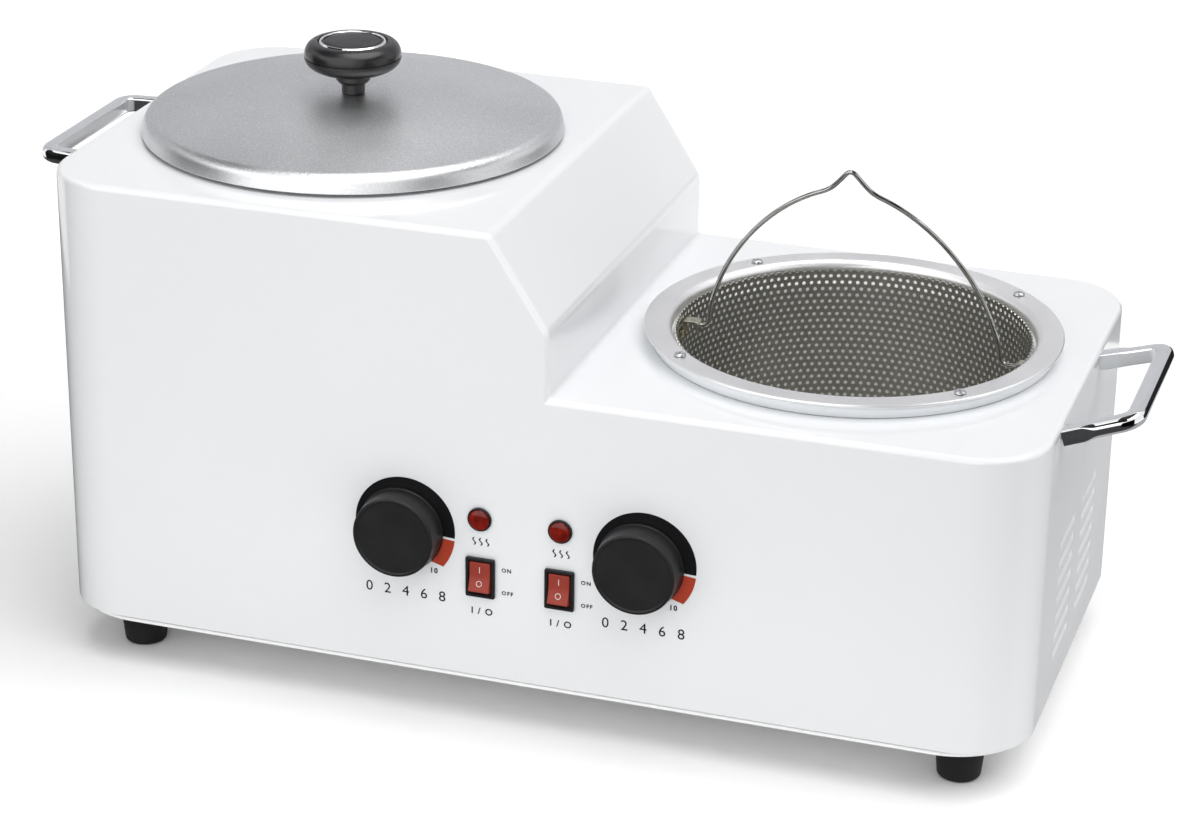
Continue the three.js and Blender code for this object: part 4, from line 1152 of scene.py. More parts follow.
@dataclass
class Lid:
    """The spun lid, its knob on a stepped stem, and the screw that holds them."""

    radius: float = 107.0
    bend: float = 105.0
    skirt_bottom: float = 260.12
    bend_level: float = 268.7
    crown: float = 9.0
    sheet: float = 1.2
    bend_start: float = 8.4
    under_start: float = 9.2
    under_end: float = 9.6
    skirt_start: float = 1.6
    hole: float = 2.4
    stem_bottom: float = 278.0
    stem: float = 5.9
    collar: float = 8.8
    collar_bottom: float = 283.3
    disc_bottom: float = 289.1
    disc: float = 24.5
    disc_height: float = 16.0
    seam: float = 297.6
    ring_outer: float = 17.1
    ring_inner: float = 15.5
    cap: float = 14.3

    def dome(self, radius: np.ndarray, drop: float) -> np.ndarray:
        """Points of a flat spherical cap: height = level + crown * (1 - (r / bend)^2), less a drop."""
        height = self.bend_level - drop + self.crown * (1 - (radius / self.bend) ** 2)
        return np.column_stack((radius, height))

    def sheet_surface(self) -> Surface:
        """The dome, a soft bend and a slightly flared skirt, with the sheet's thickness.

        Returns:
            The lid about its axis.
        """
        run = np.linspace(self.hole, self.bend - self.bend_start, 40)
        bend = rounded((
            (*self.dome(np.array((self.bend - self.bend_start,)), 0)[0], 0),
            (self.bend - 0.1, self.bend_level + 0.2, 6.4),
            (self.radius, self.skirt_bottom, 0.45),
            (self.radius - self.sheet, self.skirt_bottom, 0.45),
            (self.bend - self.sheet - 0.2, self.bend_level - self.sheet, 5.2),
            (*self.dome(np.array((self.bend - self.under_start,)), self.sheet)[0], 0),
        ), 14, closed=False)
        under = np.linspace(self.bend - self.under_end, self.hole, 24)
        return lathe(np.concatenate((self.dome(run, 0), bend, self.dome(under, self.sheet))), 256)

    def dress_skirt(self, piece: bpy.types.Object) -> None:
        """Gives the faces below the bend the skirt's finish: a finer grain, and a lighter colour that is a
        painted sheen.

        Args:
            piece: The lid.
        """
        piece.data.materials.append(SKIRT_PAINTED_SHEEN.material())
        centres = np.empty(len(piece.data.polygons) * 3, np.float32)
        piece.data.polygons.foreach_get("center", centres)
        below = centres.reshape(-1, 3)[:, 2] < (self.bend_level - self.skirt_start) * MM
        piece.data.polygons.foreach_set("material_index", below.astype(np.int32))

    def stem_surface(self) -> Surface:
        """A narrow stem under a wider collar with a chamfered lower edge.

        Returns:
            The stem about the lid's axis.
        """
        profile = rounded((
            (0.0, self.stem_bottom, 0),
            (self.stem, self.stem_bottom, 0.5),
            (self.stem, self.collar_bottom, 0.3),
            (self.collar - 1.6, self.collar_bottom, 0.7),
            (self.collar, self.collar_bottom + 1.9, 1.2),
            (self.collar, self.disc_bottom - CLEARANCE, 0.2),
            (0.0, self.disc_bottom - CLEARANCE, 0),
        ), 6, closed=False)
        return lathe(profile, 64)

    def disc_surface(self) -> Surface:
        """A thick round-edged disc: two elliptic quarters that meet at a parting groove, and a sunk top.

        Returns:
            The knob about the lid's axis.
        """
        low, top, seam = self.disc_bottom, self.disc_bottom + self.disc_height, self.seam
        neck, rim = self.collar + 1.5, self.ring_outer + 0.9
        turn = np.linspace(0, np.pi / 2, 18)
        under = np.column_stack((
            neck + (self.disc - neck) * np.sin(turn) ** 0.9,
            low + (seam - 0.35 - low) * (1 - np.cos(turn)),
        ))
        groove = np.array(((self.disc - 0.45, seam - 0.15), (self.disc - 0.45, seam + 0.15)))
        over = np.column_stack((
            rim + (self.disc - rim) * np.cos(turn) ** 0.85,
            seam + 0.35 + (top - seam - 0.35) * np.sin(turn),
        ))
        well = np.array(((rim - 0.35, top - 0.3), (rim - 0.5, top - 1.7), (0.0, top - 1.7)))
        return lathe(np.concatenate((((0.0, low),), under, groove, over, well)), 128)

    def trim_surface(self) -> Surface:
        """The bright ring, a sloping bead sunk in the disc's well.

        Returns:
            The ring about the lid's axis.
        """
        top = self.disc_bottom + self.disc_height
        profile = rounded((
            (self.ring_inner, top - 1.6, 0),
            (self.ring_outer, top - 1.6, 0),
            (self.ring_outer, top - 0.5, 0.4),
            (self.ring_outer - 0.7, top + 0.3, 0.5),
            (self.ring_inner + 0.3, top + 0.3, 0.3),
            (self.ring_inner, top - 0.2, 0.2),
        ), 6)
        return lathe(profile, 128)

    def cap_surface(self) -> Surface:
        """A low dome inside the bright ring: height = 0.5 * (1 - (r / radius)^2).

        Returns:
            The cap about the lid's axis.
        """
        top = self.disc_bottom + self.disc_height
        radius = self.cap
        run = np.linspace(0, radius - 0.5, 16)
        dome = np.column_stack((run, top - 0.05 + 0.5 * (1 - (run / radius) ** 2)))
        edge = ((radius - 0.1, top - 0.25), (radius, top - 0.6), (radius, top - 1.6), (0.0, top - 1.6))
        return lathe(np.concatenate((dome, edge)), 96)

    def build(self) -> None:
        """Makes the lid's pieces, which all lift off together."""
        for name, surface, finish, node in (
            ("spun_lid", self.sheet_surface(), LID, "lid"),
            ("knob_stem", self.stem_surface(), STEM_BLACK, "lid_knob_stem"),
            ("knob_disc", self.disc_surface(), GLOSS_BLACK, "lid_knob"),
            ("knob_trim", self.trim_surface(), CHROME, "lid_knob_ring"),
            ("knob_cap", self.cap_surface(), BLACK, "lid_knob_cap"),
        ):
            piece = add_piece(name, surface.moved(POT_X[Side.LEFT], POT_Y), finish, "pot_lid", [node])
            if finish is LID:
                self.dress_skirt(piece)
        down = Screw(4.2, 2.2, 1.1, 0.6).bolt(6.5).upside_down()
        bolt = down.moved(POT_X[Side.LEFT], POT_Y, self.bend_level + self.crown - self.sheet - CLEARANCE)
        add_piece("knob_bolt", bolt, STEEL, "pot_lid", ["lid_knob_screw"])


@dataclass
class Basket:
    """The perforated basket with its soldered ears."""

    radius: float = 88.2
    sheet: float = 0.6
    bottom: float = 73.8
    rim: float = 183.8
    corner: float = 8.0
    hole: float = 1.08
    columns: int = 137
    rows: int = 29
    ear_drop: float = 7.0
    ear_plates: tuple[float, float] = (79.2, 82.8)
    ear_width: float = 7.0
    ear_taper: float = 2.6
    ear_sheet: float = 1.2
    ear_foot: float = 5.0
    ear_web: float = 1.9
    ear_tip: float = 3.2
    solder_radius: float = 2.6
    solder_height: float = 1.1

    @property
    def pitch(self) -> float:
        """The holes' spacing round the wall."""
        return 2 * math.pi * self.radius / self.columns

    @property
    def row_pitch(self) -> float:
        """The rows' spacing, for equal spacing all ways."""
        return self.pitch * math.sqrt(3) / 2

    def cells(self, centres: np.ndarray, top_row: np.ndarray) -> tuple[np.ndarray, np.ndarray]:
        """Six-sided cells with six-sided holes, in the flat.

        A cell's corners lie pitch / sqrt 3 from its centre and its hole's corners lie the hole's radius from
        it, both at 90, 30, -30, ... degrees. In the top row the upper half is cut off at the centre line.

        Args:
            centres: Centres of shape (n, 2).
            top_row: Which of them are cut in half.

        Returns:
            Points of shape (n, 12, 2), corners first, and quads of shape (m, 4).
        """
        angle = np.radians(90 - 60 * np.arange(6))
        unit = np.column_stack((np.cos(angle), np.sin(angle)))
        local = np.concatenate((unit * self.pitch / math.sqrt(3), unit * self.hole))
        points = centres[:, None, :] + local[None]
        upper = np.array((0, 1, 5, 6, 7, 11))
        points[np.ix_(top_row, upper, (1,))] = centres[top_row][:, None, 1:]
        after = (np.arange(6) + 1) % 6
        quads = np.stack((np.arange(6), after, after + 6, np.arange(6) + 6), -1)
        starts = 12 * np.arange(len(centres))
        return points, (starts[:, None, None] + quads[None]).reshape(-1, 4)

    def wall_surface(self) -> Surface:
        """The wall: flat cells wrapped so that x becomes an angle, on the outside and the inside.

        Returns:
            The pierced wall.
        """
        row, column = np.meshgrid(np.arange(self.rows), np.arange(self.columns), indexing="ij")
        x = (column + 0.5 * (row % 2)) * self.pitch
        centres = np.column_stack((x.ravel(), (self.rim - row * self.row_pitch).ravel()))
        flat, quads = self.cells(centres, row.ravel() == 0)
        top = (quads[:, :1] // 12 < self.columns)[:, 0]
        quads = quads[~(top & np.isin(np.arange(len(quads)) % 6, (0, 5)))]
        flat = flat.reshape(-1, 2)
        angle = flat[:, 0] / self.radius
        layers = [
            np.column_stack((radius * np.cos(angle), radius * np.sin(angle), flat[:, 1]))
            for radius in (self.radius, self.radius - self.sheet)
        ]
        return self.two_sided(layers, quads)

    def two_sided(self, layers: list[np.ndarray], quads: np.ndarray) -> Surface:
        """Closes two layers of cells into a sheet, with a strip along each edge that only one cell has.

        Args:
            layers: The points of the two sides.
            quads: The cells' faces, on either side.

        Returns:
            The closed sheet.
        """
        count = len(layers[0])
        merged = np.round(layers[0] * 500).astype(np.int64)
        _, place = np.unique(merged, axis=0, return_inverse=True)
        place = place.reshape(-1)
        pairs = np.concatenate([quads[:, [i, (i + 1) % 4]] for i in range(4)])
        keys = np.sort(place[pairs], axis=1)
        _, first, uses = np.unique(keys, axis=0, return_index=True, return_counts=True)
        edges = pairs[first[uses == 1]]
        strips = np.column_stack((edges, edges[:, ::-1] + count))
        return Surface(np.concatenate(layers), [quads, quads[:, ::-1] + count, strips])

    def floor_surface(self) -> Surface:
        """The pierced floor, inside the plain corner.

        The cells of a six-sided patch are pulled out to circles: a point at distance d from the middle,
        whose six-sided distance is h, moves to the same direction at distance h, blended from d as it nears
        the edge. The whole is then scaled to the floor's reach.

        Returns:
            The pierced floor.
        """
        reach = self.radius - self.corner - 3.0
        rings = int(reach / self.row_pitch)
        a, b = np.meshgrid(np.arange(-rings, rings + 1), np.arange(-rings, rings + 1), indexing="ij")
        keep = np.abs(a + b) <= rings
        a, b = a[keep], b[keep]
        centres = self.pitch * np.column_stack((a + b / 2, b * math.sqrt(3) / 2))
        flat, quads = self.cells(centres, np.zeros(len(centres), bool))
        flat = flat.reshape(-1, 2)
        angle = np.radians(30 + 60 * np.arange(6))
        six = np.max(flat @ np.column_stack((np.cos(angle), np.sin(angle))).T, axis=1)
        distance = np.maximum(np.linalg.norm(flat, axis=1), 1e-6)
        full = self.row_pitch * (rings + 0.5)
        blend = np.clip(six / full, 0, 1) ** 2
        flat = flat * ((six * blend + distance * (1 - blend)) / distance)[:, None] * (reach / full)
        return self.two_sided([level(flat, z) for z in (self.bottom, self.bottom + self.sheet)], quads)

    def corner_surface(self) -> Surface:
        """The plain band round the floor and its rounded corner, closed on itself.

        Returns:
            The band about the pot's axis.
        """
        low, top = self.bottom, self.rim - (self.rows - 0.8) * self.row_pitch
        inside = self.radius - self.corner - 4.5
        outer = rounded((
            (inside, low - 0.02, 0),
            (self.radius, low - 0.02, self.corner),
            (self.radius + 0.02, top, 0),
        ), 10, closed=False)
        inner = rounded((
            (self.radius - self.sheet - 0.02, top, 0),
            (self.radius - self.sheet, low + self.sheet + 0.02, self.corner - self.sheet),
            (inside, low + self.sheet + 0.02, 0),
        ), 10, closed=False)
        return lathe(np.concatenate((outer, inner)), 160)

    def ear(self, out: float) -> Surface:
        """A folded strip: a foot on the wall, a level web and a plate turned down, which carries the bail.

        The strip's middle line is a rounded path in (x, z), and its section is a thin rounded rectangle that
        narrows over its last part.

        Args:
            out: 1 for the ear on the right, -1 for the left.

        Returns:
            The ear, about the pot's axis.
        """
        axis = self.rim - self.ear_drop
        plate = self.ear_plates[out > 0]
        wall = self.radius - self.sheet - 0.75
        line = rounded((
            (wall, axis - self.ear_foot, 0),
            (wall, axis + self.ear_web, 1.0),
            (plate, axis + self.ear_web, 1.0),
            (plate, axis - self.ear_tip, 0),
        ), 6, closed=False)
        path = evenly(np.column_stack((line[:, 0] * out, 0 * line[:, 0], line[:, 1])), 48)
        share = np.linspace(0, 1, len(path))
        width = self.ear_width - self.ear_taper * np.clip((share - 0.72) / 0.28, 0, 1) ** 2
        thin = rectangle(1.0, 1.0, 0.18, 3)
        flat = thin[None, :, 0] * self.ear_sheet + 0 * width[:, None]
        return sweep(path, np.stack((flat, thin[None, :, 1] * width[:, None]), -1))

    def solder(self, out: float) -> Surface:
        """A low uneven bead where the ear meets the wall: radius R * (1 + 0.18 sin 3a + 0.1 sin(5a + 1)).

        Args:
            out: 1 for the ear on the right, -1 for the left.

        Returns:
            The bead, about the pot's axis.
        """
        share = np.linspace(0, 1, 10)[:, None]
        angle = full_turn(32)[None, :]
        reach = self.solder_radius * (1 + 0.18 * np.sin(3 * angle) + 0.1 * np.sin(5 * angle + 1)) * share
        height = self.solder_height * np.sqrt(1 - share**2) + 0 * angle
        grid = np.stack((-height, reach * np.cos(angle), reach * np.sin(angle)), -1)
        flat = Surface(grid[-1], [np.arange(angle.size)[None, ::-1]])
        wall = self.radius - self.sheet - 1.3
        bead = together(grid_surface(grid, False, True), flat).mirrored(out)
        return bead.moved(wall * out, -3.0, self.rim - self.ear_drop - 3.8)

    def build(self) -> None:
        """Makes the wall, floor, corner, ears and solder."""
        x, sharp = POT_X[Side.RIGHT], 40.0
        wall, floor = self.wall_surface().moved(x, POT_Y), self.floor_surface().moved(x, POT_Y)
        add_piece("basket_wall", wall, PERFORATED, "basket", ["filter_basket"], sharp)
        add_piece("basket_floor", floor, PERFORATED, "basket", sharp=sharp)
        add_piece("basket_corner", self.corner_surface().moved(x, POT_Y), PERFORATED, "basket")
        for side in Side:
            ear, solder = self.ear(side.out).moved(x, POT_Y), self.solder(side.out).moved(x, POT_Y)
            add_piece(f"basket_ear_{side.value}", ear, EAR, "basket")
            add_piece(f"ear_solder_{side.value}", solder, SOLDER, "basket")


@dataclass
class Bail:
    """The basket's wire bail."""

    wire: float = 1.2
    half_width: float = 74.1
    height: float = 89.3
    power: float = 1.7
    kink: float = 10.7
    kink_half_width: float = 11.6
    end: float = 83.2
    axis: float = 176.8
    lean: float = 11.9

    def path(self) -> np.ndarray:
        """The wire's line.

        Each half is x = half width * cos(a)^(2/p), z = height * sin(a)^(2/p), plus a peak over the last few
        millimetres of kink * (1 - x / kink half width)^1.3, and a straight end into the ear. A short moving
        average rounds the bends, and the whole leans to the front.

        Returns:
            Points from the right end to the left, about the ears' axis.
        """
        angle = np.linspace(0, np.pi / 2, 400)
        x = self.half_width * np.cos(angle) ** (2 / self.power)
        z = self.height * np.sin(angle) ** (2 / self.power)
        z += self.kink * np.clip(1 - x / self.kink_half_width, 0, 1) ** 1.3
        tail = np.linspace(self.end, self.half_width, 12, endpoint=False)
        x, z = np.concatenate((tail, x)), np.concatenate((0 * tail, z))
        right = np.column_stack((x, 0 * x, z))
        whole = evenly(np.concatenate((right, right[-2::-1] * (-1, 1, 1))), 700)
        width = 10
        padded = np.concatenate((np.repeat(whole[:1], width, 0), whole, np.repeat(whole[-1:], width, 0)))
        kernel = np.ones(2 * width + 1) / (2 * width + 1)
        soft = np.column_stack([np.convolve(padded[:, i], kernel, "valid") for i in range(3)])
        angle = math.radians(self.lean)
        return evenly(soft, 360) @ np.array(((1, 0, 0), (0, 1, 0), (0, -math.sin(angle), math.cos(angle))))

    def build(self) -> None:
        """Makes the wire."""
        wire = sweep(self.path(), circle(self.wire, 14)).moved(POT_X[Side.RIGHT], POT_Y, self.axis)
        add_piece("bail_wire", wire, WIRE, "bail", ["basket_bail"])


@dataclass
class Handle:
    """A bent bar handle with flattened legs, and its screws."""

    side: Side
    middle: float
    root: float
    rise: float
    bar: float = 8.0
    root_half: float = 50.0
    grip_half: float = 46.4
    reach: float = 33.0
    corner: float = 8.0

    def surface(self) -> Surface:
        """The bar: a rounded path out from the wall, along the grip and back.

        The section is flat on its inner and upper faces and round outside. Along each leg it is a plain
        rounded rectangle near the wall and turns into the grip's section over a few millimetres.

        Returns:
            The bar, out along +X.
        """
        line = rounded((
            (CLEARANCE, -self.root_half, 0),
            (self.reach, -self.grip_half, self.corner),
            (self.reach, self.grip_half, self.corner),
            (CLEARANCE, self.root_half, 0),
        ), 24, closed=False)
        path = evenly(np.column_stack((line[:, 0], line[:, 1], line[:, 0] * self.rise / self.reach)), 220)
        half = self.bar / 2
        flat = rounded(((-half, -half, 0.8), (half, -half, 0.8), (half, half, 0.8), (-half, half, 0.8)), 7)
        grip = rounded(((-half, -half, 1.6), (half, -half, 3.7), (half, half, 3.2), (-half, half, 1.3)), 7)
        away = np.clip((path[:, 0] - 9.0) / 7.0, 0, 1)
        ease = (3 * away**2 - 2 * away**3)[:, None, None]
        section = flat[None] * (1 - ease) + grip[None] * ease
        return sweep(path, section, (-self.rise / self.reach, 0.0, 1.0))

    def build(self) -> None:
        """Makes the bar on its end of the housing, and its screws from inside."""
        side, out, housing = self.side.value, self.side.out, Housing()
        wall = housing.end(self.side)
        bar = self.surface().mirrored(out).moved(wall, self.middle, self.root)
        add_piece(f"{side}_bar_handle", bar, CHROME, nodes=[f"handle_{side}"])
        bolt = Screw(3.0, 2.2, 1.0, 0.5).bolt(6.5).turned(((0, 0, -out), (0, 1, 0), (out, 0, 0)))
        x = wall - out * (housing.sheet + CLEARANCE)
        for i, sign in enumerate((-1, 1), 1):
            placed = bolt.moved(x, self.middle + sign * self.root_half, self.root)
            add_piece(f"{side}_handle_bolt_{i}", placed, STEEL, nodes=[f"handle_screw_{side}_{i}"])


@dataclass
class Dial:
    """A thermostat knob with a ribbed side."""

    side: Side
    base: float = 21.7
    face: float = 20.5
    height: float = 13.0
    ribs: int = 96
    rib_depth: float = 0.22

    def surface(self) -> Surface:
        """Ribs on a turned knob: the radius is the profile's less depth * (1 - |cos(n a / 2)|) on the side.

        Returns:
            The knob, facing +Z.
        """
        profile = rounded((
            (0.0, CLEARANCE, 0),
            (self.base, CLEARANCE, 0.3),
            (self.base, 1.7, 0.5),
            (self.base - 0.35, 2.0, 0.2),
            (self.face, self.height, 0.9),
            (self.face - 1.4, self.height, 0.3),
            (self.face - 2.0, self.height - 0.45, 0.4),
            (0.0, self.height - 0.45, 0),
        ), 5, closed=False)
        angle = full_turn(self.ribs * 6)
        radius, height = profile[:, :1], profile[:, 1:]
        band = np.clip((height - 2.2) / 0.6, 0, 1) * np.clip((self.height - 0.9 - height) / 0.6, 0, 1)
        side = band * (radius > self.face - 0.5)
        ribbed = radius - self.rib_depth * side * (1 - np.abs(np.cos(self.ribs * angle / 2)))
        return grid_surface(polar(ribbed, height, angle), False, True)

    def build(self) -> None:
        """Makes the knob on its shaft."""
        side = self.side.value
        placed = self.surface().facing_front().moved(KNOB_X[self.side], 0, KNOB_Z)
        add_piece(f"{side}_dial", placed, BLACK, f"knob_{side}", [f"thermostat_knob_{side}"])


@dataclass
class Switch:
    """A rocker switch: a bezel with its body, and a tilting key."""

    side: Side
    width: float = 15.0
    length: float = 21.0
    rise: float = 1.6
    key_width: float = 10.6
    key_half: float = 7.5
    key_lift: float = 0.2
    key_dip: float = 1.1
    key_power: float = 1.6
    pivot: float = 2.5
    tilt: float = -9.0
    ink: float = 0.06

    def outlines(self, steps: Sequence[tuple[float, float, float, float]]) -> list[np.ndarray]:
        """Rounded rectangles, each given by its width, length, corner radius and height."""
        return [level(rectangle(width, length, radius, 4), z) for width, length, radius, z in steps]

    def bezel(self) -> Surface:
        """Rounded rectangles from the panel out to the rim, into the well, and round the body behind.

        Returns:
            The bezel and its body.
        """
        face = CLEARANCE + self.rise
        rings = self.outlines((
            (self.width, self.length, 0.9, CLEARANCE),
            (self.width, self.length, 0.9, face - 0.5),
            (self.width - 0.5, self.length - 0.5, 0.8, face - 0.1),
            (self.width - 1.3, self.length - 1.3, 0.7, face),
            (12.3, 18.4, 0.5, face - 0.05),
            (11.8, 17.9, 0.5, face - 0.4),
            (11.5, 17.6, 0.5, face - 2.0),
            (11.3, 17.4, 0.5, -8.0),
        ))
        shell = self.outlines((
            (12.9, 19.1, 0.5, -18.5),
            (12.9, 19.1, 0.5, CLEARANCE),
            (self.width, self.length, 0.9, CLEARANCE),
        ))
        return together(loft(rings), loft(shell, False), loft([shell[0], shell[0]]))

    def slopes(self, along: np.ndarray) -> np.ndarray:
        """The key's height along its length: lift + dip * |along / half length|^power over the pivot."""
        over_pivot = self.pivot + CLEARANCE + self.rise + self.key_lift
        return over_pivot + self.key_dip * np.abs(along / self.key_half) ** self.key_power

    def place(self, surface: Surface) -> Surface:
        """Moves a surface from the switch's own axes onto the panel."""
        return surface.facing_front().moved(SWITCH_X[self.side], 0, SWITCH_Z)

    def tilted(self, surface: Surface) -> Surface:
        """Moves a surface from the key's own axes, about its pivot, onto the panel."""
        return self.place(surface.leaned(self.tilt).moved(z=-self.pivot))

    def key(self) -> bpy.types.Object:
        """The key: two shallow slopes that meet over the pivot, drawn out across and rounded.

        Returns:
            The key, pressed in at its upper end.
        """
        along = self.key_half * np.linspace(-1, 1, 25)
        front = np.column_stack((along, self.slopes(along)))
        side = np.concatenate((front, ((8.2, 1.0), (3.5, -4.0), (-3.5, -4.0), (-8.2, 1.0))))
        rings = [
            np.column_stack((np.full(len(side), x), side[:, 0], side[:, 1]))
            for x in (-self.key_width / 2, self.key_width / 2)
        ]
        piece = mesh_object(f"{self.side.value}_switch_key", self.tilted(loft(rings)))
        bevelled(piece, 0.45, 3, 40.0)
        smooth(piece.data, 35.0)
        return piece

    def on_key(self, plan: np.ndarray, middle: float, lift: float) -> np.ndarray:
        """A plan outline laid on the slopes, about a place along them, and lifted."""
        along = plan[:, 1] + middle
        return np.column_stack((plan[:, 0], along, self.slopes(along) + lift))

    def marks(self) -> Surface:
        """The white bar and ring on the key's two slopes.

        Returns:
            Both marks as thin solids.
        """
        bar = rectangle(0.36, 3.2, 0.1, 2)
        bar_solid = loft([self.on_key(bar, 3.7, lift) for lift in (0.0, self.ink)])
        edges = ((1.5, 0.0), (1.5, self.ink), (1.2, self.ink), (1.2, 0.0))
        ring = np.stack([self.on_key(circle(radius, 32), -3.3, lift) for radius, lift in edges])
        return self.tilted(together(bar_solid, grid_surface(ring, True, True)))

    def build(self) -> None:
        """Makes the bezel, the key and its marks."""
        side = self.side.value
        add_piece(f"{side}_switch_bezel", self.place(self.bezel()), BLACK, nodes=[f"switch_body_{side}"])
        dress(self.key(), RED, f"rocker_{side}", [f"switch_rocker_{side}"])
        add_piece(f"{side}_switch_marks", self.marks(), WHITE_INK, f"rocker_{side}")


@dataclass
class PilotLamp:
    """A pilot lamp: a thin black collar with its body, and a domed lens."""

    side: Side
    collar: float = 6.1
    lens: float = 5.2
    rise: float = 3.0
    face: float = 1.5
    body: float = 4.8
    body_depth: float = 20.0

    def collar_surface(self) -> Surface:
        """A collar that is round in front, and the body behind the panel.

        Returns:
            The collar and body, facing +Z.
        """
        profile = rounded((
            (0.0, 0.6, 0),
            (self.lens + 0.2, 0.6, 0),
            (self.lens + 0.2, self.face, 0.2),
            (self.collar, self.face, 0.5),
            (self.collar, CLEARANCE, 0),
            (self.body, CLEARANCE, 0),
            (self.body, -self.body_depth, 0.8),
            (0.0, -self.body_depth, 0),
        ), 5, closed=False)
        return lathe(profile, 48)

    def lens_surface(self) -> Surface:
        """A dome: height = face + (rise - face) * (1 - (r / R)^2)^(1/2).

        Returns:
            The lens, closed behind.
        """
        share = np.sin(np.linspace(0, np.pi / 2, 28))
        height = self.face + (self.rise - self.face) * np.sqrt(np.clip(1 - share**2, 0, 1))
        dome = np.column_stack((self.lens * share, height))
        return lathe(np.concatenate((dome, ((self.lens, 0.9), (0.0, 0.9)))), 64)

    def build(self) -> None:
        """Makes the collar and the lens."""
        side, x = self.side.value, LAMP_X[self.side]
        collar = self.collar_surface().facing_front().moved(x, 0, LAMP_Z)
        lens = self.lens_surface().facing_front().moved(x, 0, LAMP_Z)
        add_piece(f"{side}_lamp_collar", collar, BLACK, nodes=[f"lamp_body_{side}"])
        add_piece(f"{side}_lamp_lens", lens, LENS, nodes=[f"lamp_lens_{side}"])


@dataclass(frozen=True)
class Word:
    """A printed word: the height of a capital and how far its strokes are widened, in millimetres."""

    text: str
    height: float
    bold: float = 0.0
    spacing: float = 1.0


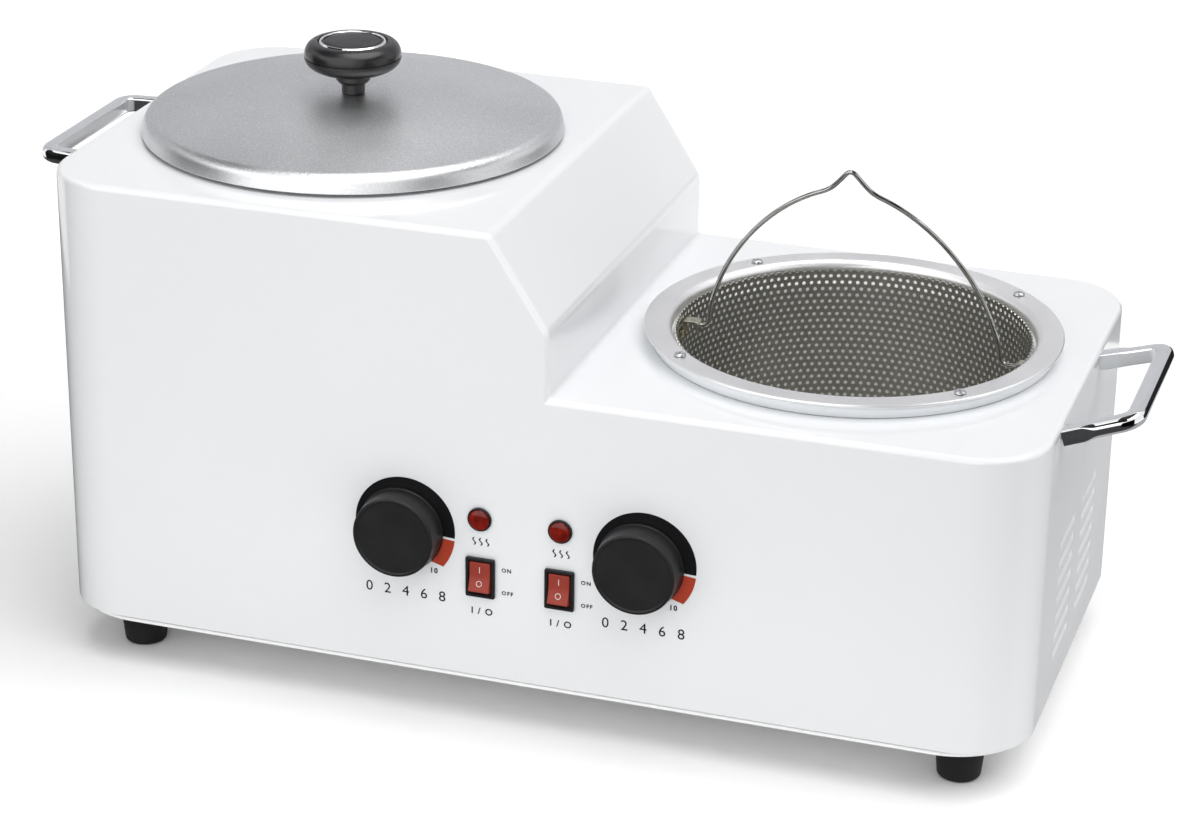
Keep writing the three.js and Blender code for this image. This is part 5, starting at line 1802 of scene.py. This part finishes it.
@dataclass
class PanelPrint:
    """Printed dials, numbers and signs on the front."""

    film: float = 0.05
    dial_shift: tuple[float, float] = (1.8, 1.4)
    dial_radius: float = 25.8
    red_outer: float = 27.6
    under_knob: float = 20.6
    wave_height: float = 4.0
    wave_swing: float = 0.65
    wave_stroke: float = 0.36
    wave_pitch: float = 3.4
    capital: float = 0.7
    sign_level: float = 100.6
    sign_shift: float = 0.4

    def band(self, inner: np.ndarray, outer: np.ndarray) -> Surface:
        """A thin solid between two lines, just off the panel.

        Args:
            inner: One line, of shape (n, 2).
            outer: The other, of the same count.

        Returns:
            The band, facing front.
        """
        low, top = self.film, 2 * self.film
        rings = [level(inner, low), level(outer, low), level(outer, top), level(inner, top)]
        skin = grid_surface(np.stack(rings, axis=1), False, True)
        skin.faces += [np.arange(4)[None, :], (np.arange(4) + 4 * (len(inner) - 1))[None, ::-1]]
        return skin.facing_front()

    def crescent(self) -> Surface:
        """The black part of the dial: between a circle under the knob and a larger one set off from it.

        Returns:
            The crescent, facing front.
        """
        turn = np.radians(np.linspace(-3.0, 186.0, 96))
        way = np.column_stack((np.cos(turn), np.sin(turn)))
        shift = way @ np.array(self.dial_shift)
        return self.band(way * self.under_knob, way * (self.dial_radius + shift)[:, None])

    def hot_sector(self) -> Surface:
        """The red part: a ring sector whose lower end slopes.

        Returns:
            The sector, facing front.
        """
        share = np.linspace(0, 1, 24)
        outer_turn = np.radians(-6.0 - 33.0 * share)
        inner_turn = np.radians(-6.0 - 41.0 * share)
        outer = self.red_outer * np.column_stack((np.cos(outer_turn), np.sin(outer_turn)))
        inner = self.under_knob * np.column_stack((np.cos(inner_turn), np.sin(inner_turn)))
        return self.band(inner, outer)

    def heat_sign(self) -> Surface:
        """Three upright waves side by side: x = swing * sin(2 pi t), y = height * t.

        Returns:
            The three waves, facing front.
        """
        t = np.linspace(0, 1, 28)
        wave = np.column_stack((self.wave_swing * np.sin(2 * np.pi * t), self.wave_height * (t - 0.5)))
        half = self.wave_stroke
        middles = (-self.wave_pitch, 0.0, self.wave_pitch)
        return together(*(self.band(wave + (x - half, 0), wave + (x + half, 0)) for x in middles))

    def lettering(self, name: str, word: Word, x: float, z: float) -> bpy.types.Object:
        """Generic numbers or a switch word as a thin mesh centred on a point of the panel.

        Args:
            name: The piece's name.
            word: What it says and how.
            x: The middle, from the housing's left end.
            z: The middle, from the table.

        Returns:
            The word as a mesh object.
        """
        curve = bpy.data.curves.new(name, "FONT")
        curve.body = word.text
        curve.size = word.height * MM / self.capital
        curve.space_character = word.spacing
        curve.align_x = "CENTER"
        curve.align_y = "CENTER"
        curve.extrude = self.film * MM / 2
        curve.offset = word.bold * MM
        curve.resolution_u = 4
        text = linked(name, curve)
        bpy.context.view_layer.update()
        mesh = bpy.data.meshes.new_from_object(text.evaluated_get(bpy.context.evaluated_depsgraph_get()))
        bpy.data.objects.remove(text)
        bpy.data.curves.remove(curve)
        flat = np.empty(len(mesh.vertices) * 3, np.float32)
        mesh.vertices.foreach_get("co", flat)
        flat = flat.reshape(-1, 3) / MM
        upright = np.column_stack((flat[:, 0] + x, -flat[:, 2] - 1.5 * self.film, flat[:, 1] + z))
        mesh.vertices.foreach_set("co", in_frame(upright))
        mesh.update()
        mesh.name = name
        return linked(name, mesh)

    def build(self) -> None:
        """Makes every print."""
        for side in Side:
            name, knob, sign = side.value, KNOB_X[side], LAMP_X[side] + self.sign_shift
            add_piece(f"{name}_dial_print", self.crescent().moved(knob, 0, KNOB_Z), BLACK_INK)
            add_piece(f"{name}_hot_print", self.hot_sector().moved(knob, 0, KNOB_Z), RED_INK)
            add_piece(f"{name}_heat_sign", self.heat_sign().moved(sign, 0, self.sign_level), BLACK_INK)
            switch = SWITCH_X[side]
            words = (
                ("scale", Word("0  2  4  6  8", 5.4, 0.0, 1.12), knob + 1.7, 67.6),
                ("hottest", Word("10", 2.6, 0.12, 1.2), knob + 16.5, 81.2),
                ("mains_word", Word("I / O", 3.4, 0.10, 1.2), switch + 0.5, 63.1),
                ("on_word", Word("ON", 2.0, 0.08, 1.3), switch + 13.2, 87.0),
                ("off_word", Word("OFF", 2.0, 0.08, 1.3), switch + 13.7, 74.8),
            )
            for label, word, x, z in words:
                dress(self.lettering(f"{name}_{label}", word, x, z), BLACK_INK)


@dataclass
class Inlet:
    """The mains inlet in the back."""

    width: float = 50.0
    height: float = 23.0
    plate: float = 2.4

    def surface(self) -> Surface:
        """Outlines with six corners, from the flange's edge over its face into the keyed socket.

        Returns:
            The moulding, facing +Z.
        """
        face = CLEARANCE + self.plate

        def six(width: float, height: float, cut: float, radius: float) -> np.ndarray:
            """A rectangle with its two upper corners cut off.

            Args:
                width: Its size across.
                height: Its size upwards.
                cut: How much the corners lose each way.
                radius: How far the six corners are rounded.

            Returns:
                The outline, of shape (n, 2).
            """
            x, y = width / 2, height / 2
            return rounded((
                (x, -y, radius), (x, y - cut, radius), (x - cut, y, radius),
                (cut - x, y, radius), (-x, y - cut, radius), (-x, -y, radius),
            ), 4)

        steps = (
            (28.0, 20.0, 1.0, 0.3, -22.0),
            (28.0, 20.0, 1.0, 0.3, CLEARANCE),
            (self.width, self.height, 1.6, 0.5, CLEARANCE),
            (self.width, self.height, 1.6, 0.5, face - 0.6),
            (self.width - 0.8, self.height - 0.8, 1.6, 0.5, face),
            (27.6, 19.2, 4.0, 0.5, face),
            (26.6, 18.2, 3.6, 0.5, face - 0.3),
            (24.6, 16.6, 3.2, 0.5, face - 1.4),
            (24.5, 16.5, 3.0, 0.5, face - 16.0),
        )
        return loft([level(six(w, h, cut, radius), z) for w, h, cut, radius, z in steps])

    def build(self) -> None:
        """Makes the inlet and its three pins."""
        housing = Housing()

        def place(surface: Surface) -> Surface:
            """Puts a surface on the back of the housing."""
            return surface.facing_back().moved(housing.length / 2, housing.depth, INLET_Z)

        add_piece("inlet_moulding", place(self.surface()), BLACK, nodes=["mains_inlet"])
        pins = [
            loft([level(rectangle(w, h, 0.4, 3) + (x, z), depth) for w, h, depth in
                  ((2.0, 4.0, -13.4), (2.0, 4.0, -2.2), (1.3, 3.2, -1.6))])
            for x, z in ((-7.0, -2.0), (0.0, 2.0), (7.0, -2.0))
        ]
        add_piece("inlet_pins", place(together(*pins)), STEEL)


def refinish(name: str, finish: Finish) -> None:
    """Gives a node that stays as it is its material.

    Args:
        name: The node.
        finish: What it is made of.
    """
    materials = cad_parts[name].data.materials
    materials.clear()
    materials.append(finish.material())
    log.info("%s: own mesh in %s", name, finish.name)


def dress_inner_parts() -> None:
    """Gives the inner nodes that stay as they are their finishes."""
    finishes = {
        "heater_band": JACKET,
        "insulation": WOOL,
        "thermal_cutout": CERAMIC,
        "thermostat_bulb": COPPER,
        "thermostat_shaft": STEEL,
        "thermostat": CERAMIC,
    }
    for start, finish in finishes.items():
        for side in Side:
            refinish(f"{start}_{side.value}", finish)
    refinish("terminal_block", CERAMIC)


# Studio


@dataclass
class Studio:
    """Floor, surround, lamps, cards and the camera."""

    ambient: float = 0.35
    key_strength: float = 2.32
    fill_strength: float = 1.27
    floor_colour: Colour = (0.98, 0.98, 0.98)
    floor_half: float = 6000.0
    gap_radius: float = 89.9
    sensor: float = 36.0
    focal_pixels: float = 3243.2
    photo_width: float = 1200.0

    def world(self) -> None:
        """A white surround for the eye and in reflections, which lights the object at part strength."""
        world = bpy.data.worlds.new("white_studio")
        bpy.context.scene.world = world
        world.use_nodes = True
        tree = Tree(world.node_tree)
        rays = tree.add("ShaderNodeLightPath", {}).outputs
        seen = rays["Is Camera Ray"]
        for label in ("Is Glossy Ray", "Is Transmission Ray"):
            seen = tree.add("ShaderNodeMath", {0: seen, 1: rays[label]}, operation="MAXIMUM").outputs[0]
        strength = tree.add("ShaderNodeMapRange", {"To Min": self.ambient, "To Max": 1.0, "Value": seen})
        background = world.node_tree.nodes["Background"]
        tree.feed(background, {"Color": (1.0, 1.0, 1.0, 1.0), "Strength": strength.outputs["Result"]})

    def floor(self) -> None:
        """A wide pale floor."""
        size = self.floor_half
        plan = np.array(((-size, -size), (size, -size), (size, size), (-size, size)))
        piece = mesh_object("studio_floor", Surface(level(plan, 0.0), [np.arange(4)[None, :]]))
        material, tree, shader = new_material("pale_floor", {"Roughness": 0.9, "Specular IOR Level": 0.0})
        mottle = tree.add("ShaderNodeGroup", {
            "Scale": 1.5,
            "Colour": (*self.floor_colour, 1.0),
            "Shade": 0.004,
            "Vector": tree.add("ShaderNodeTexCoord", {}).outputs["Object"],
        }, node_tree=mottle_group())
        tree.feed(shader, {"Base Color": mottle.outputs["Colour"]})
        piece.data.materials.append(material)

    def lamp(self, name: str, towards: Colour, spread: float, strength: float) -> None:
        """A broad even lamp, far away.

        Args:
            name: The lamp's name.
            towards: A direction from the object to the lamp.
            spread: How wide the lamp looks, in degrees.
            strength: Its irradiance.
        """
        light = bpy.data.lights.new(name, "SUN")
        light.angle = math.radians(spread)
        light.energy = strength
        linked(name, light).rotation_euler = Vector(towards).to_track_quat("Z", "Y").to_euler()

    def unseen(self, piece: bpy.types.Object, values: dict[str, object], diffuse: bool, glossy: bool) -> None:
        """Gives a piece a plain material, and hides it from the camera and from shadows.

        Args:
            piece: The object.
            values: Its shader's constants.
            diffuse: Whether soft light meets it.
            glossy: Whether it shows in reflections.
        """
        piece.data.materials.append(new_material(piece.name, values)[0])
        piece.visible_camera = False
        piece.visible_diffuse = diffuse
        piece.visible_glossy = glossy
        piece.visible_shadow = False

    def card(self, name: str, surface: Surface, shade: float, flag: bool = False) -> None:
        """A card that shows only in reflections, given in metres in the model's frame.

        Args:
            name: The card's name.
            surface: Its shape.
            shade: How light it is.
            flag: Whether it holds back soft light instead, and doesn't show in reflections.
        """
        piece = mesh_object(name, Surface(surface.points / MM + ORIGIN, surface.faces))
        values = {
            "Base Color": (shade, shade, shade * 1.04, 1.0),
            "Roughness": 1.0,
            "Specular IOR Level": 0.0,
        }
        self.unseen(piece, values, diffuse=flag, glossy=not flag)

    def gap_lamp(self, name: str, low: float, high: float, strength: float) -> None:
        """A dim upright band of light between the basket and its pot, so that the holes shine.

        It is the circle (R cos a, R sin a) from one level to another, in millimetres, and isn't seen itself.

        Args:
            name: The band's name.
            low: Its lower edge.
            high: Its upper edge.
            strength: How bright it is.
        """
        plan = circle(self.gap_radius, 96) + (POT_X[Side.RIGHT], POT_Y)
        piece = mesh_object(name, loft((level(plan, low), level(plan, high)), False))
        values = {
            "Base Color": (0.0, 0.0, 0.0, 1.0),
            "Specular IOR Level": 0.0,
            "Emission Color": (1.0, 0.99, 0.96, 1.0),
            "Emission Strength": strength,
        }
        self.unseen(piece, values, diffuse=True, glossy=False)

    def surround(self, start: float, end: float, low: float, high: float, radius: float) -> Surface:
        """An upright arc of wall: (R cos a, R sin a, z) over an angle from start to end.

        Args:
            start: The first angle, in degrees.
            end: The last angle, in degrees.
            low: The lower edge, in metres.
            high: The upper edge, in metres.
            radius: R, in metres.

        Returns:
            The wall, one cell high.
        """
        angle = np.radians(np.linspace(start, end, 40))
        foot = np.column_stack((radius * np.cos(angle), radius * np.sin(angle), 0 * angle + low))
        return grid_surface(np.stack((foot, foot + (0, 0, high - low))))

    def camera(self) -> None:
        """The photograph's viewpoint, from a camera fitted to the housing's edges."""
        data = bpy.data.cameras.new("camera")
        data.sensor_width = self.sensor
        data.lens = self.sensor * self.focal_pixels / self.photo_width
        data.clip_start, data.clip_end = 0.01, 50.0
        camera = linked("camera", data)
        camera.location = (0.47238, -1.44980, 0.77020)
        camera.rotation_euler = (1.16944767, -0.01268142, 0.31858313)
        bpy.context.scene.camera = camera

    def build(self) -> None:
        """Sets the stage."""
        bpy.context.scene.view_settings.view_transform = "Standard"
        self.world()
        self.floor()
        self.lamp("overhead_softbox", (0.32, -0.05, 0.93), 62.0, self.key_strength)
        self.lamp("front_softbox", (-0.35, -0.88, 0.30), 90.0, self.fill_strength)
        for name, low, high, shade in (
            ("dark_card_behind", (0.30, 0.50, 0.0), (1.20, 0.51, 0.27), 0.02),
            ("dark_table_front", (-1.40, -1.30, 0.001), (0.95, -0.11, 0.004), 0.05),
            ("dark_table_left", (-0.75, -0.11, 0.001), (-0.24, 0.60, 0.004), 0.06),
            ("grey_table_right", (0.24, -0.11, 0.001), (1.30, 0.45, 0.004), 0.38),
            ("dark_card_right_handle", (0.15, -0.24, 0.27), (0.36, -0.23, 0.50), 0.03),
            ("dark_card_over_right_handle", (0.14, -0.24, 0.50), (0.42, 0.10, 0.51), 0.03),
            ("dark_card_left_handle", (-0.56, -0.28, 0.36), (-0.38, -0.02, 0.37), 0.03),
            ("dark_card_over_left_handle", (-0.44, -0.20, 0.52), (-0.20, 0.10, 0.53), 0.03),
        ):
            self.card(name, block(low, high), shade)
        for name, arc, shade, flag in (
            ("grey_backdrop", (45.0, 165.0, 0.0, 3.2, 2.1), 0.60, False),
            ("dark_card_left_corner", (184.0, 222.0, 0.0, 0.40, 0.62), 0.03, False),
            ("dark_card_right_corner", (-56.0, -18.0, 0.0, 0.32, 0.63), 0.03, False),
            ("left_flag", (150.0, 218.0, 0.05, 0.40, 0.62), 0.02, True),
            ("right_flag", (-56.0, -18.0, 0.05, 0.32, 0.62), 0.02, True),
        ):
            self.card(name, self.surround(*arc), shade, flag)
        self.gap_lamp("gap_lamp", 82.0, 174.0, 0.36)
        self.gap_lamp("gap_rim_lamp", 174.0, 180.0, 1.0)
        self.camera()


def main() -> None:
    """Builds every sub-assembly and the studio."""
    logging.basicConfig(level=logging.INFO, format="%(name)s %(message)s")
    for part in (
        Housing(),
        Base(),
        Pot(Side.LEFT, Housing().tall_top),
        Pot(Side.RIGHT, Housing().low_top),
        Lid(),
        Basket(),
        Bail(),
        Handle(Side.LEFT, middle=124.5, root=242.3, rise=0.0),
        Handle(Side.RIGHT, middle=104.5, root=173.5, rise=11.0),
        Dial(Side.LEFT),
        Dial(Side.RIGHT),
        Switch(Side.LEFT),
        Switch(Side.RIGHT),
        PilotLamp(Side.LEFT),
        PilotLamp(Side.RIGHT),
        PanelPrint(),
        Inlet(),
    ):
        part.build()
    dress_inner_parts()
    Studio().build()


if __name__ == "__main__":
    main()
